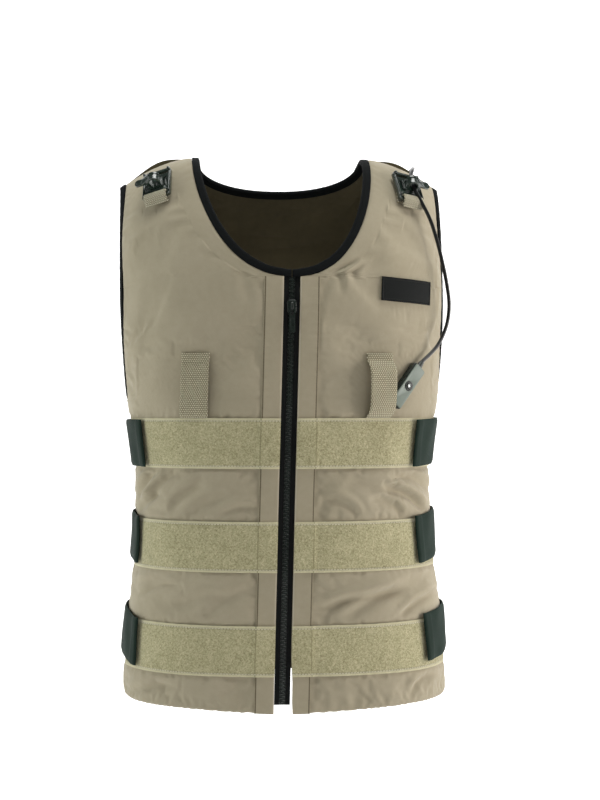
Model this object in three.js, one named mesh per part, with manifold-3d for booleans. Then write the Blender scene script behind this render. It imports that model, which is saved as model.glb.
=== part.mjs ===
import * as THREE from 'three';
import { mergeVertices } from 'three/addons/utils/BufferGeometryUtils.js';
import Module from 'manifold-3d';

// Cooling vest in the form that it has when worn. Millimetres, +Z up, the front faces -Y,
// +X is the wearer's left. The origin lies midway between the tops of the two shoulder seams.

// Body of the vest
const vestLength = 562; // shoulder seam to hem
const chestHalfWidth = 172;
const frontDepth = 114; // centre line of the torso to the front of the chest
const backDepth = 108;
const squareness = 2.4; // exponent of the rounded sections seen from above
const clothWall = 5; // quilted cloth round the cooling layer
const seamGap = 0.3; // clearance where two pieces meet
const closureTop = 5; // the zip runs from this side of the torso's centre line at the neckline
const closureFoot = -10; // to this one at the hem
const torsoLean = 6; // the hem hangs this much further to the left than the shoulders

// Shoulders, neckline and armholes
const chestLine = 180; // below this depth the sections stay full, above it they round in
const shoulderRounding = 2.1; // exponent of that rounding
const neckHalfWidth = 93;
const neckDropFront = 134;
const neckDropBack = 30;
const shoulderHalfWidth = 163;
const shoulderDrop = 28; // fall of the shoulder seam towards its outer end
const seamCurve = 1.6; // exponent of that fall
const backCrescent = 5.5; // the back panel stands this much above the front at mid seam
const armholeDepth = 255;
const armholeTurn = 73; // degrees round the torso at which the armhole edge runs
const armholeCorner = 0.45; // share of the armhole's height over which its lower end rounds
const armholeRoundness = 2.4;
const armholeLead = 4.3; // degrees that the edge runs further forward at the shoulder
const neckFall = 1.9; // exponents of the neckline seen from the front
const neckRoundness = 2.25;
const backNeckRoundness = 2.2;

// Zip
const zipHalfWidth = 8.2; // centre of the zip to the panel edge
const zipEnd = 18; // the zip stops this much above the hem
const chainHalfWidth = 2.9;
const chainThickness = 2.6;
const chainProud = 1.8; // the teeth stand this much above the tapes
const tapeThickness = 1;
const zipDepth = 2.4; // the tapes lie this much below the face of the cloth
const facingWidth = 19.5;
const facingThickness = 1;

// Bands, straps and webbing
const bandHeight = 50;
const bandThickness = 1.6;
const bandSpacing = 0.1824 * vestLength;
const firstBandTop = 0.4876 * vestLength; // the top band's upper edge below the shoulders
const strapThickness = 2.8;
const strapHeight = 48;
const strapSideTurn = 88; // degrees round the torso: the strap leaves the band, then lies on the cloth
const strapSettledTurn = 104;
const strapBackTurn = 128; // where it is sewn to the back
const strapFlare = 1.7; // the loose end stands this much further off
const loopWidth = 27;
const loopHeight = 64;
const webbingThickness = 1.6;
const bindingWidth = 7.2;
const bindingLip = 0.6; // how far the binding stands proud of each face of the cloth
const bindingGap = 0.7; // the cloth's edge to the inside of the fold of the binding

// Chest loops: spacing from the centre of the zip as a share of the chest's half width, and how far
// the two edges bow off the cloth as shares of the loop's width
const chestLoops = [
  { name: 'right', side: -1, spacing: 0.541, nearBow: 0.126, farBow: 0.126 },
  { name: 'left', side: 1, spacing: 0.528, nearBow: 0.519, farBow: 0.482 },
];
const loopArchMiddle = 0.45; // share of the loop's height
const loopArchFullness = 4.6; // exponent, larger is squarer
const loopFold = 0.9; // above this share the top end is folded double
const loopShares = [0, 0.06, 0.14, 0.25, 0.4, 0.55, 0.7, 0.82, 0.9, 1];

// Label patch
const labelWidth = 53;
const labelHeight = 24;
const labelThickness = 1.6;
const labelOut = 121; // from the centre line of the torso
const labelDown = 146;
const labelTilt = -3;

// Shoulder clips
const clipBaseWidth = 31;
const clipBaseLength = 36;
const clipBaseThickness = 4.1;
const clipSlotHeight = 3.6;
const clipSlotInset = 5;
const clipTilts = { right: 13, left: 9 };
const clipFootThickness = 1.4;
const clipOut = 128;
const clipDown = 38;
const tabWidth = 25; // webbing tab that holds the clip base
const tabDown = 55; // its sewn lower end below the shoulders
const tabTop = 25;
const tabGap = 1;
const hoseBore = 9; // the lead or a hose passes under the clip's arch
const archWall = 2.1;
const archLength = 9;
const wingLength = 13.5;
const wingWidth = 8;
const wingThickness = 2.2;

// Lead and controller
const leadDiameter = 3.8;
const controllerLength = 50;
const controllerWidth = 16;
const controllerBodyThickness = 7;
const controllerPlateThickness = 1.2;
const controllerOut = 117;
const controllerDown = 241.5;
const controllerTilt = -40;
const controllerStandoff = 0.8;
const buttonDiameter = 5.6;
const buttonStroke = 0.8;
const bezelWall = 1.6;
const bezelProud = 0.6; // above the face plate
const buttonProud = 1.4;

// Sections of the torso: level is a share of the length, width of the chest's half width,
// front and back of the two depths
const torsoSections = [
  { level: 0.00, width: 1.000, front: 1.00, back: 1.00 },
  { level: 0.28, width: 1.000, front: 1.00, back: 1.00 },
  { level: 0.35, width: 0.988, front: 1.00, back: 1.00 },
  { level: 0.41, width: 0.968, front: 1.00, back: 0.98 },
  { level: 0.46, width: 0.945, front: 1.00, back: 0.96 },
  { level: 0.50, width: 0.925, front: 0.99, back: 0.94 },
  { level: 0.55, width: 0.905, front: 0.98, back: 0.92 },
  { level: 0.60, width: 0.893, front: 0.97, back: 0.91 },
  { level: 0.68, width: 0.900, front: 0.97, back: 0.92 },
  { level: 0.76, width: 0.917, front: 0.98, back: 0.96 },
  { level: 0.83, width: 0.945, front: 0.98, back: 1.01 },
  { level: 0.90, width: 0.968, front: 0.98, back: 1.04 },
  { level: 1.00, width: 0.985, front: 0.99, back: 1.05 },
];

// Folds pressed into the fronts: side is -1 on the wearer's right, the two ends are given as shares
// of the chest's half width and of the length, width and depth are shares of the cloth wall
const folds = [
  { side: -1, x0: 0.86, z0: 0.592, x1: 0.72, z1: 0.645, width: 1.9, depth: 0.70 },
  { side: -1, x0: 0.66, z0: 0.594, x1: 0.84, z1: 0.660, width: 1.7, depth: 0.55 },
  { side: -1, x0: 0.62, z0: 0.785, x1: 0.82, z1: 0.805, width: 2.0, depth: 0.50 },
  { side: 1, x0: 0.66, z0: 0.628, x1: 0.88, z1: 0.655, width: 1.8, depth: 0.65 },
  { side: 1, x0: 0.40, z0: 0.800, x1: 0.80, z1: 0.778, width: 2.2, depth: 0.45 },
];

// Side straps: reach is where the front end lies as a share of the chest's half width, rise and lift
// are how far the end and the side stand above the band, as shares of the strap's height
const strapRows = [
  { side: -1, band: 1, reach: 0.815, rise: 0.00, lift: 0.00 },
  { side: -1, band: 2, reach: 0.850, rise: 0.06, lift: 0.13 },
  { side: -1, band: 3, reach: 0.870, rise: 0.06, lift: 0.22 },
  { side: 1, band: 1, reach: 0.730, rise: 0.00, lift: 0.04 },
  { side: 1, band: 2, reach: 0.742, rise: 0.08, lift: 0.19 },
  { side: 1, band: 3, reach: 0.790, rise: 0.15, lift: 0.25 },
];

// Route of the lead: out of the port on the back of the left shoulder, over the seam, under the
// clip's arch and in a free bow down to the controller
const leadPoints = [
  [119.0, 75.1, -67.8],
  [121.3, 73.2, -60.2],
  [124.8, 67.5, -49.5],
  [129.0, 58.0, -37.5],
  [132.8, 47.0, -27.3],
  [136.6, 34.5, -18.6],
  [139.8, 22.0, -12.6],
  [141.6, 9.0, -9.6],
  [142.0, -6.0, -9.4],
  [140.8, -19.0, -10.6],
  [138.6, -31.0, -13.0],
  [136.2, -42.5, -17.2],
  [133.6, -50.4, -23.2],
  [133.9, -56.6, -30.8],
  [136.2, -61.6, -39.6],
  [141.6, -65.4, -51.5],
  [150.5, -67.5, -70.0],
  [157.5, -68.0, -91.0],
  [164.0, -68.0, -117.0],
  [168.3, -67.5, -138.0],
  [170.5, -67.5, -157.0],
  [168.8, -69.0, -174.0],
  [164.0, -71.5, -188.5],
  [157.0, -75.5, -200.5],
  [149.0, -79.5, -209.0],
];
const leadSteps = 58;
const glandLength = 9;
const glandRadius = 4.5;
const gland = { out: 114, down: 78 }; // where the port stands on the back of the shoulder

// Zip slider and its pull, parked below the neckline
const sliderDown = 164;
const sliderWidth = 9;
const sliderLength = 13;
const sliderThickness = 2;
const bridgeHalf = 1;
const bridgeLength = 8;
const bridgeWall = 1.2;
const pullBar = 1.5;
const pullWidth = 6;
const pullLength = 24;
const pullEye = 7; // opening of the pull below its bar, it straddles the slider's bridge

const radians = THREE.MathUtils.degToRad;
const mix = THREE.MathUtils.lerp;

function columnCurve(table, column) {
  const levels = table.map((row) => row.level);
  const values = table.map((row) => row[column]);
  const spline = new THREE.CubicInterpolant(levels, values, 1);
  return (z) => spline.evaluate(THREE.MathUtils.clamp(-z / vestLength, 0, 1.02))[0];
}

const widthShare = columnCurve(torsoSections, 'width');
const depthShare = {
  front: columnCurve(torsoSections, 'front'),
  back: columnCurve(torsoSections, 'back'),
};
const fullDepth = { front: frontDepth, back: backDepth };
const facingY = { front: -1, back: 1 };

const halfWidthAt = (z) => chestHalfWidth * widthShare(z);

// Height of the shoulder seam at a distance from the centre line
function seamHeight(x) {
  const share = Math.max(0, Math.abs(x) - neckHalfWidth) / (shoulderHalfWidth - neckHalfWidth);
  return -shoulderDrop * share ** seamCurve;
}

// Turn round the torso, 0 at the centre line and 90 degrees at the side seam
const turnAt = (x, z) => {
  const share = Math.min(1, Math.abs(x) / halfWidthAt(z));
  return THREE.MathUtils.radToDeg(Math.asin(share ** (squareness / 2)));
};

const reachOf = (turn, z) => halfWidthAt(z) * Math.sin(radians(turn)) ** (2 / squareness);

// Share of the full depth that is left where the chest rounds in to the shoulder seam
function shoulderShare(x, z) {
  const share = (z + chestLine) / (seamHeight(x) + chestLine);
  return share <= 0 ? 1 : Math.max(0, 1 - share ** shoulderRounding) ** (1 / shoulderRounding);
}

// Point of the outer face of the cloth
function skinPoint(face, side, turn, z) {
  const x = reachOf(turn, z);
  const depth = fullDepth[face] * depthShare[face](z)
    * Math.max(0, Math.cos(radians(turn))) ** (2 / squareness) * shoulderShare(x, z);
  const lean = torsoLean * (-z / vestLength);
  return new THREE.Vector3(side * x + lean, facingY[face] * (depth + seamGap / 2), z);
}

// Direction out of the cloth at that point
function skinNormal(face, side, turn, z) {
  const x = reachOf(turn, z);
  const top = seamHeight(x);
  if (top - z < 0.01) {
    const slope = (seamHeight(x + 0.5) - seamHeight(x - 0.5));
    return new THREE.Vector3(-side * slope, 0, 1).normalize();
  }
  const across = skinPoint(face, side, Math.min(90, turn + 0.4), z)
    .sub(skinPoint(face, side, Math.max(0, turn - 0.4), z));
  const up = skinPoint(face, side, turn, Math.min(top, z + 0.8))
    .sub(skinPoint(face, side, turn, z - 0.8));
  const normal = across.cross(up).normalize();
  if (normal.y * facingY[face] < 0) {
    normal.negate();
  }
  if (turn > 89.99) {
    normal.setY(0).normalize();
  }
  return normal;
}

// Point at a height off the cloth, with the side taken from the sign of x
function offSkin(face, x, z, height) {
  const side = x < 0 ? -1 : 1;
  const turn = turnAt(x, z);
  return skinPoint(face, side, turn, z).addScaledVector(skinNormal(face, side, turn, z), height);
}

// Point at a height off the cloth, going round from the centre front (0) to the centre back (180)
function roundSkin(side, turn, z, height) {
  const face = turn <= 90 ? 'front' : 'back';
  const inner = turn <= 90 ? turn : 180 - turn;
  return skinPoint(face, side, inner, z)
    .addScaledVector(skinNormal(face, side, inner, z), height);
}

// Closed solid through a row of closed outlines, each with the same even number of points
function loft(outlines, closed = false) {
  const count = outlines[0].length;
  const triangles = [];
  const quad = (a, b, c, d) => triangles.push(a, b, c, a, c, d);
  const spans = closed ? outlines.length : outlines.length - 1;
  for (let row = 0; row < spans; row++) {
    const here = row * count;
    const next = ((row + 1) % outlines.length) * count;
    for (let k = 0; k < count; k++) {
      const after = (k + 1) % count;
      quad(here + k, here + after, next + after, next + k);
    }
  }
  if (!closed) {
    const last = (outlines.length - 1) * count;
    for (let k = 0; k < count / 2 - 1; k++) {
      const mirror = count - 1 - k;
      quad(k, mirror, mirror - 1, k + 1);
      quad(last + k, last + k + 1, last + mirror - 1, last + mirror);
    }
  }
  return solidOf(outlines.flat(), triangles);
}

// Geometry from points and triangles, turned so that its faces point out
function solidOf(points, triangles) {
  let volume = 0;
  for (let k = 0; k < triangles.length; k += 3) {
    const [a, b, c] = [0, 1, 2].map((n) => points[triangles[k + n]]);
    volume += a.dot(b.clone().cross(c));
  }
  if (volume < 0) {
    triangles.reverse();
  }
  const geometry = new THREE.BufferGeometry().setFromPoints(points);
  geometry.setIndex(triangles);
  geometry.computeVertexNormals();
  return geometry;
}

// Strip that lies on the cloth: columns hold one list of points for its outer and its inner face
const strip = (columns) => loft(columns.map(({ outer, inner }) => [...outer, ...inner.reverse()]));

const wasm = await Module();
wasm.setup();

function toManifold(geometry) {
  const bare = geometry.clone();
  bare.deleteAttribute('normal');
  bare.deleteAttribute('uv');
  const merged = mergeVertices(bare, 1e-4);
  const vertProperties = new Float32Array(merged.attributes.position.array);
  const triVerts = new Uint32Array(merged.index.array);
  return new wasm.Manifold(new wasm.Mesh({ numProp: 3, vertProperties, triVerts }));
}

function fromManifold(solid) {
  const mesh = solid.getMesh();
  const geometry = new THREE.BufferGeometry();
  geometry.setAttribute('position', new THREE.BufferAttribute(mesh.vertProperties, 3));
  geometry.setIndex(new THREE.BufferAttribute(mesh.triVerts, 1));
  geometry.computeVertexNormals();
  return geometry;
}

const join = (...shapes) => fromManifold(shapes.map(toManifold).reduce((a, b) => a.add(b)));
const cut = (shape, ...tools) => fromManifold(
  tools.map(toManifold).reduce((a, b) => a.subtract(b), toManifold(shape)),
);

const vest = new THREE.Group();

const finish = (color, roughness, metalness = 0) => (
  () => new THREE.MeshStandardMaterial({ color, roughness, metalness })
);
const tanCloth = finish(0xa8998a, 0.85);
const tanTape = finish(0xb3a78f, 0.95);
const tanWebbing = finish(0x9c8e78, 0.9);
const blackCloth = finish(0x17191b, 0.9);
const blackStrap = finish(0x1d2422, 0.75);
const blackPlastic = finish(0x1e2221, 0.4);
const blackRubber = finish(0x141617, 0.5);
const greyPlastic = finish(0x50584f, 0.45);
const steel = finish(0xb9bcbc, 0.25, 1);

function add(name, geometry, material, parent = vest) {
  const mesh = new THREE.Mesh(geometry, material());
  mesh.name = name;
  parent.add(mesh);
  return mesh;
}

const sides = [
  { name: 'right', side: -1 },
  { name: 'left', side: 1 },
];

// Closure line: the zip leans across the centre line of the torso below the neckline
function closureX(z) {
  const neckline = -neckDropFront;
  if (z > neckline) {
    return closureTop * (z / neckline) ** 2;
  }
  return mix(closureTop, closureFoot, (z - neckline) / (-vestLength - neckline));
}

// Neckline seen from the front: half width at a height
function necklineHalf(z) {
  const fall = Math.min(1, Math.max(0, -z / neckDropFront));
  return neckHalfWidth * (1 - fall ** neckFall) ** (1 / neckRoundness);
}

// Front panel's inner edge, measured outwards from the centre line on its own side
const innerEdge = (side, z) => side * closureX(z) + Math.max(zipHalfWidth, necklineHalf(z));

// Armhole edge as a turn round the torso, at a height and with the seam's height at its outer end
function armholeEdge(z) {
  const share = THREE.MathUtils.clamp((z + armholeDepth) / (armholeDepth - shoulderDrop), 0, 1);
  const bottom = Math.min(1, share / armholeCorner);
  const swing = (1 - (1 - bottom) ** armholeRoundness) ** (1 / armholeRoundness);
  return 90 - (90 - armholeTurn) * swing - armholeLead * share ** 4;
}

// Heights of the rows of cloth, top to bottom, with the bands' edges among them
const bandTops = [0, 1, 2].map((n) => -firstBandTop - n * bandSpacing);
const bandLevels = bandTops.map((top) => [top, top - bandHeight / 2, top - bandHeight]);
const shoulderShares = [1, 0.998, 0.985, 0.95, 0.89, 0.81, 0.71, 0.6, 0.5, 0.41, 0.34];
const shoulderLevels = shoulderShares.map((share) => -chestLine * (1 - share));
const necklineLevels = [0.952, 0.985, 1, 1.08].map((share) => -neckDropFront * share);
const armholeLevels = [0.78, 0.87, 0.94, 0.98, 1].map((share) => -armholeDepth * share);
const between = (low, high, count) => (
  Array.from({ length: count }, (_, k) => mix(low, high, (k + 1) / (count + 1)))
);
const lowerLevels = (steps) => [
  ...bandLevels[0],
  ...between(bandLevels[0][2], bandLevels[1][0], steps),
  ...bandLevels[1],
  ...between(bandLevels[1][2], bandLevels[2][0], steps),
  ...bandLevels[2],
  -vestLength + zipEnd,
  -vestLength,
];
const frontLevels = [
  ...shoulderLevels, ...necklineLevels, -chestLine, ...armholeLevels, ...lowerLevels(3),
];

// Above the chest line a row follows the slope of the shoulder seam
function rowHeight(x, level, top = seamHeight(x)) {
  return level <= -chestLine ? level : -chestLine + (top + chestLine) * (level / chestLine + 1);
}

// Columns of a front panel as turns: the edge, the facing's stitch line, then even steps
const panelColumns = 11;
function frontTurns(side, level) {
  const edge = innerEdge(side, level);
  const first = turnAt(edge, level);
  const last = level > -armholeDepth ? armholeEdge(rowHeight(shoulderHalfWidth, level)) : 90;
  const stitched = turnAt(edge + facingWidth, level);
  const beyond = turnAt(edge + facingWidth + 3, level);
  const even = between(beyond, last, panelColumns - 4);
  return [first, stitched, beyond, ...even, last];
}

// How far the folds press the cloth in
function foldDepth(side, x, z) {
  let depth = 0;
  for (const fold of folds.filter((row) => row.side === side)) {
    const start = new THREE.Vector2(fold.x0 * chestHalfWidth, -fold.z0 * vestLength);
    const end = new THREE.Vector2(fold.x1 * chestHalfWidth, -fold.z1 * vestLength);
    const line = end.clone().sub(start);
    const place = new THREE.Vector2(x, z).sub(start);
    const along = THREE.MathUtils.clamp(place.dot(line) / line.lengthSq(), 0, 1);
    const off = place.sub(line.multiplyScalar(along)).length() / (fold.width * clothWall);
    depth += fold.depth * clothWall * Math.exp(-off * off);
  }
  return depth;
}

// Front panels
for (const { name, side } of sides) {
  const rows = frontLevels.map((level) => {
    const outer = [];
    const inner = [];
    for (const turn of frontTurns(side, level)) {
      const x = reachOf(turn, level);
      const z = rowHeight(x, level);
      const point = skinPoint('front', side, turn, z);
      const normal = skinNormal('front', side, turn, z);
      const dent = turn > 89.99 ? 0 : foldDepth(side, x, z);
      outer.push(point.clone().addScaledVector(normal, -dent));
      inner.push(point.clone().addScaledVector(normal, -clothWall - dent));
    }
    return { outer, inner };
  });
  add(`front_panel_${name}`, strip(rows), tanCloth);
}

// Back panel: one piece from side seam to side seam, its top edge is the neckline and the seams
const necklineShares = [0, 0.3, 0.58, 0.78, 0.9, 0.97, 1];
const backLevels = [...shoulderLevels, -chestLine, ...armholeLevels, ...lowerLevels(1)];
const backStepsPastNeck = 3;

function backTop(x) {
  const share = Math.abs(x) / neckHalfWidth;
  return share < 1 ? -neckDropBack * Math.sqrt(1 - share ** backNeckRoundness) : seamHeight(x);
}

// Columns of one half of the back as turns, from the centre line to the outer edge
function backTurns(level) {
  const neck = necklineShares.map((share) => turnAt(share * neckHalfWidth, level));
  const last = level > -armholeDepth ? armholeEdge(rowHeight(shoulderHalfWidth, level)) : 90;
  return [...neck, ...between(neck.at(-1), last, backStepsPastNeck), last];
}

// The back's shoulder edge stands a little higher than the front's
function crescentRise(x, z) {
  const out = (Math.abs(x) - neckHalfWidth) / (shoulderHalfWidth - neckHalfWidth);
  const share = (z + chestLine) / (seamHeight(x) + chestLine);
  return out <= 0 || out >= 1 ? 0 : backCrescent * Math.sin(Math.PI * out) ** 2 * share ** 12;
}

function backSpot(side, turn, level) {
  const x = reachOf(turn, level);
  const z = rowHeight(x, level, backTop(x));
  const point = skinPoint('back', side, turn, z);
  const normal = skinNormal('back', side, turn, z);
  point.z += crescentRise(x, Math.max(z, -chestLine));
  return { point, normal };
}

const backRows = backLevels.map((level) => {
  const turns = backTurns(level);
  const right = turns.map((turn) => backSpot(-1, turn, level)).reverse();
  const left = turns.slice(1).map((turn) => backSpot(1, turn, level));
  return [...right, ...left];
});
const inward = ({ point, normal }, depth) => point.clone().addScaledVector(normal, -depth);
add('back_panel', strip(backRows.map((row) => ({
  outer: row.map((spot) => spot.point),
  inner: row.map((spot) => inward(spot, clothWall)),
}))), tanCloth);

// Binding folded over an edge of the cloth. Spots are the edge's points with their normals,
// towards is a point in the opening that the edge runs round
function bindingAlong(spots, towards, closed) {
  const outlines = spots.map(({ point, normal }, k) => {
    const before = closed ? spots.at(k - 1) : spots[Math.max(0, k - 1)];
    const after = closed ? spots[(k + 1) % spots.length] : spots[Math.min(spots.length - 1, k + 1)];
    const along = after.point.clone().sub(before.point).normalize();
    const beyond = along.cross(normal).normalize();
    if (beyond.dot(towards.clone().sub(point)) < 0) {
      beyond.negate();
    }
    const top = bindingLip;
    const bottom = -clothWall - bindingLip;
    const profile = [
      [bindingGap, top], [bindingWidth * 0.75, top], [bindingWidth, top - clothWall * 0.3],
      [bindingWidth, bottom + clothWall * 0.3], [bindingWidth * 0.75, bottom], [bindingGap, bottom],
    ];
    return profile.map(([out, height]) => (
      point.clone().addScaledVector(beyond, out).addScaledVector(normal, height)
    ));
  });
  return loft(outlines, closed);
}

const frontSpot = (side, turn, level) => {
  const z = rowHeight(reachOf(turn, level), level);
  return { point: skinPoint('front', side, turn, z), normal: skinNormal('front', side, turn, z) };
};

// Neckline binding, from the zip over the right shoulder, round the back and down again
const necklineRows = frontLevels.filter((level) => level >= -neckDropFront);
const neckFront = (side) => necklineRows.map((level) => (
  frontSpot(side, turnAt(innerEdge(side, level), level), level)
));
const neckBack = backRows[0].filter(({ point }) => Math.abs(point.x) < neckHalfWidth - 1);
const necklineSpots = [...neckFront(-1).reverse(), ...neckBack, ...neckFront(1)];
add(
  'neck_binding',
  bindingAlong(necklineSpots, new THREE.Vector3(0, -20, -40), false),
  blackCloth,
);

// Armhole bindings, closed rings down the front edge and up the back edge
for (const { name, side } of sides) {
  const last = (level) => armholeEdge(rowHeight(shoulderHalfWidth, level));
  const open = (level) => level > -armholeDepth;
  const front = frontLevels.filter(open).map((level) => frontSpot(side, last(level), level));
  const under = frontSpot(side, 90, -armholeDepth);
  const back = backLevels.filter(open).slice(1).reverse()
    .map((level) => backSpot(side, last(level), level));
  front[0].point.y = 0;
  under.point.y = 0;
  const hole = new THREE.Vector3(side * chestHalfWidth, 0, -armholeDepth / 2);
  const geometry = bindingAlong([...front, under, ...back], hole, true);
  add(`armhole_binding_${name}`, geometry, blackCloth);
}

// Zip: two tapes, the closed chain between them and the strips of cloth that flank it
const zipLevels = frontLevels.filter((z) => z <= -neckDropFront && z >= -vestLength + zipEnd);
const facingLevels = frontLevels.filter((z) => z <= -neckDropFront);

function stripDown(levels, xs, low, high) {
  return strip(levels.map((z) => ({
    outer: xs(z).map((x) => offSkin('front', x, z, high)),
    inner: xs(z).map((x) => offSkin('front', x, z, low)),
  })));
}

for (const { name, side } of sides) {
  const tape = (z) => [chainHalfWidth + seamGap, zipHalfWidth - seamGap]
    .map((out) => closureX(z) + side * out);
  add(
    `zip_tape_${name}`,
    stripDown(zipLevels, tape, -zipDepth - tapeThickness, -zipDepth),
    blackCloth,
  );
  const facing = (z) => {
    const edge = innerEdge(side, z);
    return [side * edge, side * (edge + facingWidth)];
  };
  add(
    `zip_facing_${name}`,
    stripDown(facingLevels, facing, seamGap, seamGap + facingThickness),
    tanCloth,
  );
}
const chainTop = chainProud - zipDepth;
const chain = (z) => [closureX(z) - chainHalfWidth, closureX(z) + chainHalfWidth];
add('zip_chain', stripDown(zipLevels, chain, chainTop - chainThickness, chainTop), blackPlastic);

// Loop bands: they cross the facing's stitch line and stop before the side seam
const bandColumns = panelColumns - 1;
for (const { name, side } of sides) {
  bandLevels.forEach((levels, n) => {
    const columns = Array.from({ length: bandColumns }, (_, column) => {
      const step = column < 2 ? facingThickness + seamGap : 0;
      const at = (height) => levels.map((z) => {
        const turn = frontTurns(side, z)[column];
        return skinPoint('front', side, turn, z)
          .addScaledVector(skinNormal('front', side, turn, z), height + step);
      });
      return { outer: at(seamGap + bandThickness), inner: at(seamGap) };
    });
    add(`loop_band_${name}_${n + 1}`, strip(columns), tanTape);
  });
}

// Side straps: sewn to the back, round the side and over the end of each band
const strapClear = bandThickness + 3 * seamGap;
for (const row of strapRows) {
  const name = row.side < 0 ? 'right' : 'left';
  const top = bandTops[row.band - 1];
  const endTurn = turnAt(row.reach * chestHalfWidth, top - bandHeight / 2);
  const overBand = between(endTurn, strapSideTurn, 5);
  const roundSide = between(strapSideTurn, strapBackTurn, 6);
  const columns = [endTurn, ...overBand, ...roundSide, strapBackTurn].map((turn, k) => {
    const share = THREE.MathUtils.smoothstep(turn, endTurn, strapSideTurn);
    const lift = strapHeight * mix(row.rise, row.lift, share);
    const upper = top - (bandHeight - strapHeight) / 2 + lift;
    const settle = THREE.MathUtils.smoothstep(turn, strapSideTurn, strapSettledTurn);
    const flare = k === 0 ? strapFlare : 0;
    const low = mix(strapClear, 2 * seamGap, settle) + flare;
    const at = (height) => [0, 0.5, 1].map((down) => (
      roundSkin(row.side, turn, upper - down * strapHeight, height)
    ));
    return { outer: at(low + strapThickness), inner: at(low) };
  });
  add(`side_strap_${name}_${row.band}`, strip(columns), blackStrap);
}

// Chest loops: webbing that bows away from the cloth, its top end folded and sewn down
for (const { name, side, spacing, nearBow, farBow } of chestLoops) {
  const bottom = -firstBandTop + seamGap;
  const rows = loopShares.map((share) => {
    const z = bottom + loopHeight * share;
    const arch = Math.max(0, 1 - Math.abs(share / loopArchMiddle - 1) ** loopArchFullness);
    const at = (thickness) => [0, 0.5, 1].map((across) => {
      const out = chestHalfWidth * spacing + loopWidth * (across - 0.5);
      const x = side * out + closureX(z);
      const bow = loopWidth * mix(nearBow, farBow, across) * arch;
      return offSkin('front', x, z, seamGap + bow + thickness);
    });
    const layers = share >= loopFold ? 2 : 1;
    return { outer: at(webbingThickness * layers), inner: at(0) };
  });
  add(`chest_loop_${name}`, strip(rows), tanWebbing);
}

// Label patch, bare rubber sewn to the left chest
const labelColumns = [-0.5, -0.25, 0, 0.25, 0.5].map((across) => {
  const tilt = radians(labelTilt);
  const at = (height) => [0.5, 0, -0.5].map((up) => {
    const u = across * labelWidth;
    const v = up * labelHeight;
    const x = labelOut + u * Math.cos(tilt) - v * Math.sin(tilt);
    const z = -labelDown + u * Math.sin(tilt) + v * Math.cos(tilt);
    return offSkin('front', x, z, height);
  });
  return { outer: at(3 * seamGap + labelThickness), inner: at(3 * seamGap) };
});
add('label_patch', strip(labelColumns), blackRubber);

// Group whose own axes lie on the cloth: X across, Z up the cloth, -Y straight out of it
function seatGroup(x, z, height, spin = 0) {
  const side = x < 0 ? -1 : 1;
  const turn = turnAt(x, z);
  const normal = skinNormal('front', side, turn, z);
  const inwards = normal.clone().negate();
  const up = new THREE.Vector3(0, 0, 1).addScaledVector(normal, -normal.z).normalize();
  const upright = up.applyAxisAngle(normal, radians(spin));
  const across = inwards.clone().cross(upright);
  const group = new THREE.Group();
  group.position.copy(offSkin('front', x, z, height));
  group.quaternion.setFromRotationMatrix(
    new THREE.Matrix4().makeBasis(across, inwards, upright),
  );
  vest.add(group);
  return group;
}

// Box that stands out of the cloth from one height to another, centred across and up
const block = (width, low, high, length, x = 0, z = 0) => (
  new THREE.BoxGeometry(width, high - low, length).translate(x, -(low + high) / 2, z)
);

// Shoulder clips: a webbing tab, a plastic base held by it and a clip for the hose or lead
for (const { name, side } of sides) {
  const tabRows = [0, 0.2, 0.4, 0.55, 0.7, 0.85, 1].map((share) => {
    const z = mix(-tabDown, -tabTop, share);
    const at = (height) => [-0.5, -0.25, 0, 0.25, 0.5].map((across) => (
      offSkin('front', side * clipOut + across * tabWidth, z, height)
    ));
    return { outer: at(tabGap + webbingThickness), inner: at(tabGap) };
  });
  add(`shoulder_tab_${name}`, strip(tabRows), tanWebbing);

  const standoff = tabGap + webbingThickness + seamGap;
  const seat = seatGroup(side * clipOut, -clipDown, standoff, side * -clipTilts[name]);
  const slot = (z) => block(tabWidth + 1, -1, clipBaseThickness + 1, clipSlotHeight, 0, z);
  const base = cut(
    block(clipBaseWidth, 0, clipBaseThickness, clipBaseLength),
    slot(clipBaseLength / 2 - clipSlotInset),
    slot(-clipBaseLength / 2 + clipSlotInset),
  );
  add(`clip_base_${name}`, base, blackPlastic, seat);

  const foot = clipBaseThickness + seamGap;
  const outerRadius = hoseBore / 2 + archWall;
  const arch = new THREE.Shape();
  arch.moveTo(outerRadius, 0);
  arch.lineTo(outerRadius, hoseBore / 2);
  arch.absarc(0, hoseBore / 2, outerRadius, 0, Math.PI);
  arch.lineTo(-outerRadius, 0);
  arch.lineTo(-hoseBore / 2, 0);
  arch.lineTo(-hoseBore / 2, hoseBore / 2);
  arch.absarc(0, hoseBore / 2, hoseBore / 2, Math.PI, 0, true);
  arch.lineTo(hoseBore / 2, 0);
  const archSolid = new THREE.ExtrudeGeometry(arch, {
    depth: archLength, bevelEnabled: false, curveSegments: 8,
  }).translate(0, 0, -archLength / 2).rotateZ(Math.PI)
    .translate(0, -foot - clipFootThickness + 0.2, 0);
  const wingHeight = foot + clipFootThickness + hoseBore / 2;
  const wing = block(wingLength + 2, wingHeight, wingHeight + wingThickness, wingWidth)
    .translate(side * (outerRadius + wingLength / 2 - 1.5), 0, 0);
  const parts = [
    block(2 * outerRadius + 3, foot, foot + clipFootThickness, archLength + 4),
    archSolid,
    wing,
  ];
  add(`hose_clip_${name}`, join(...parts), blackPlastic, seat);
}

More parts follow.
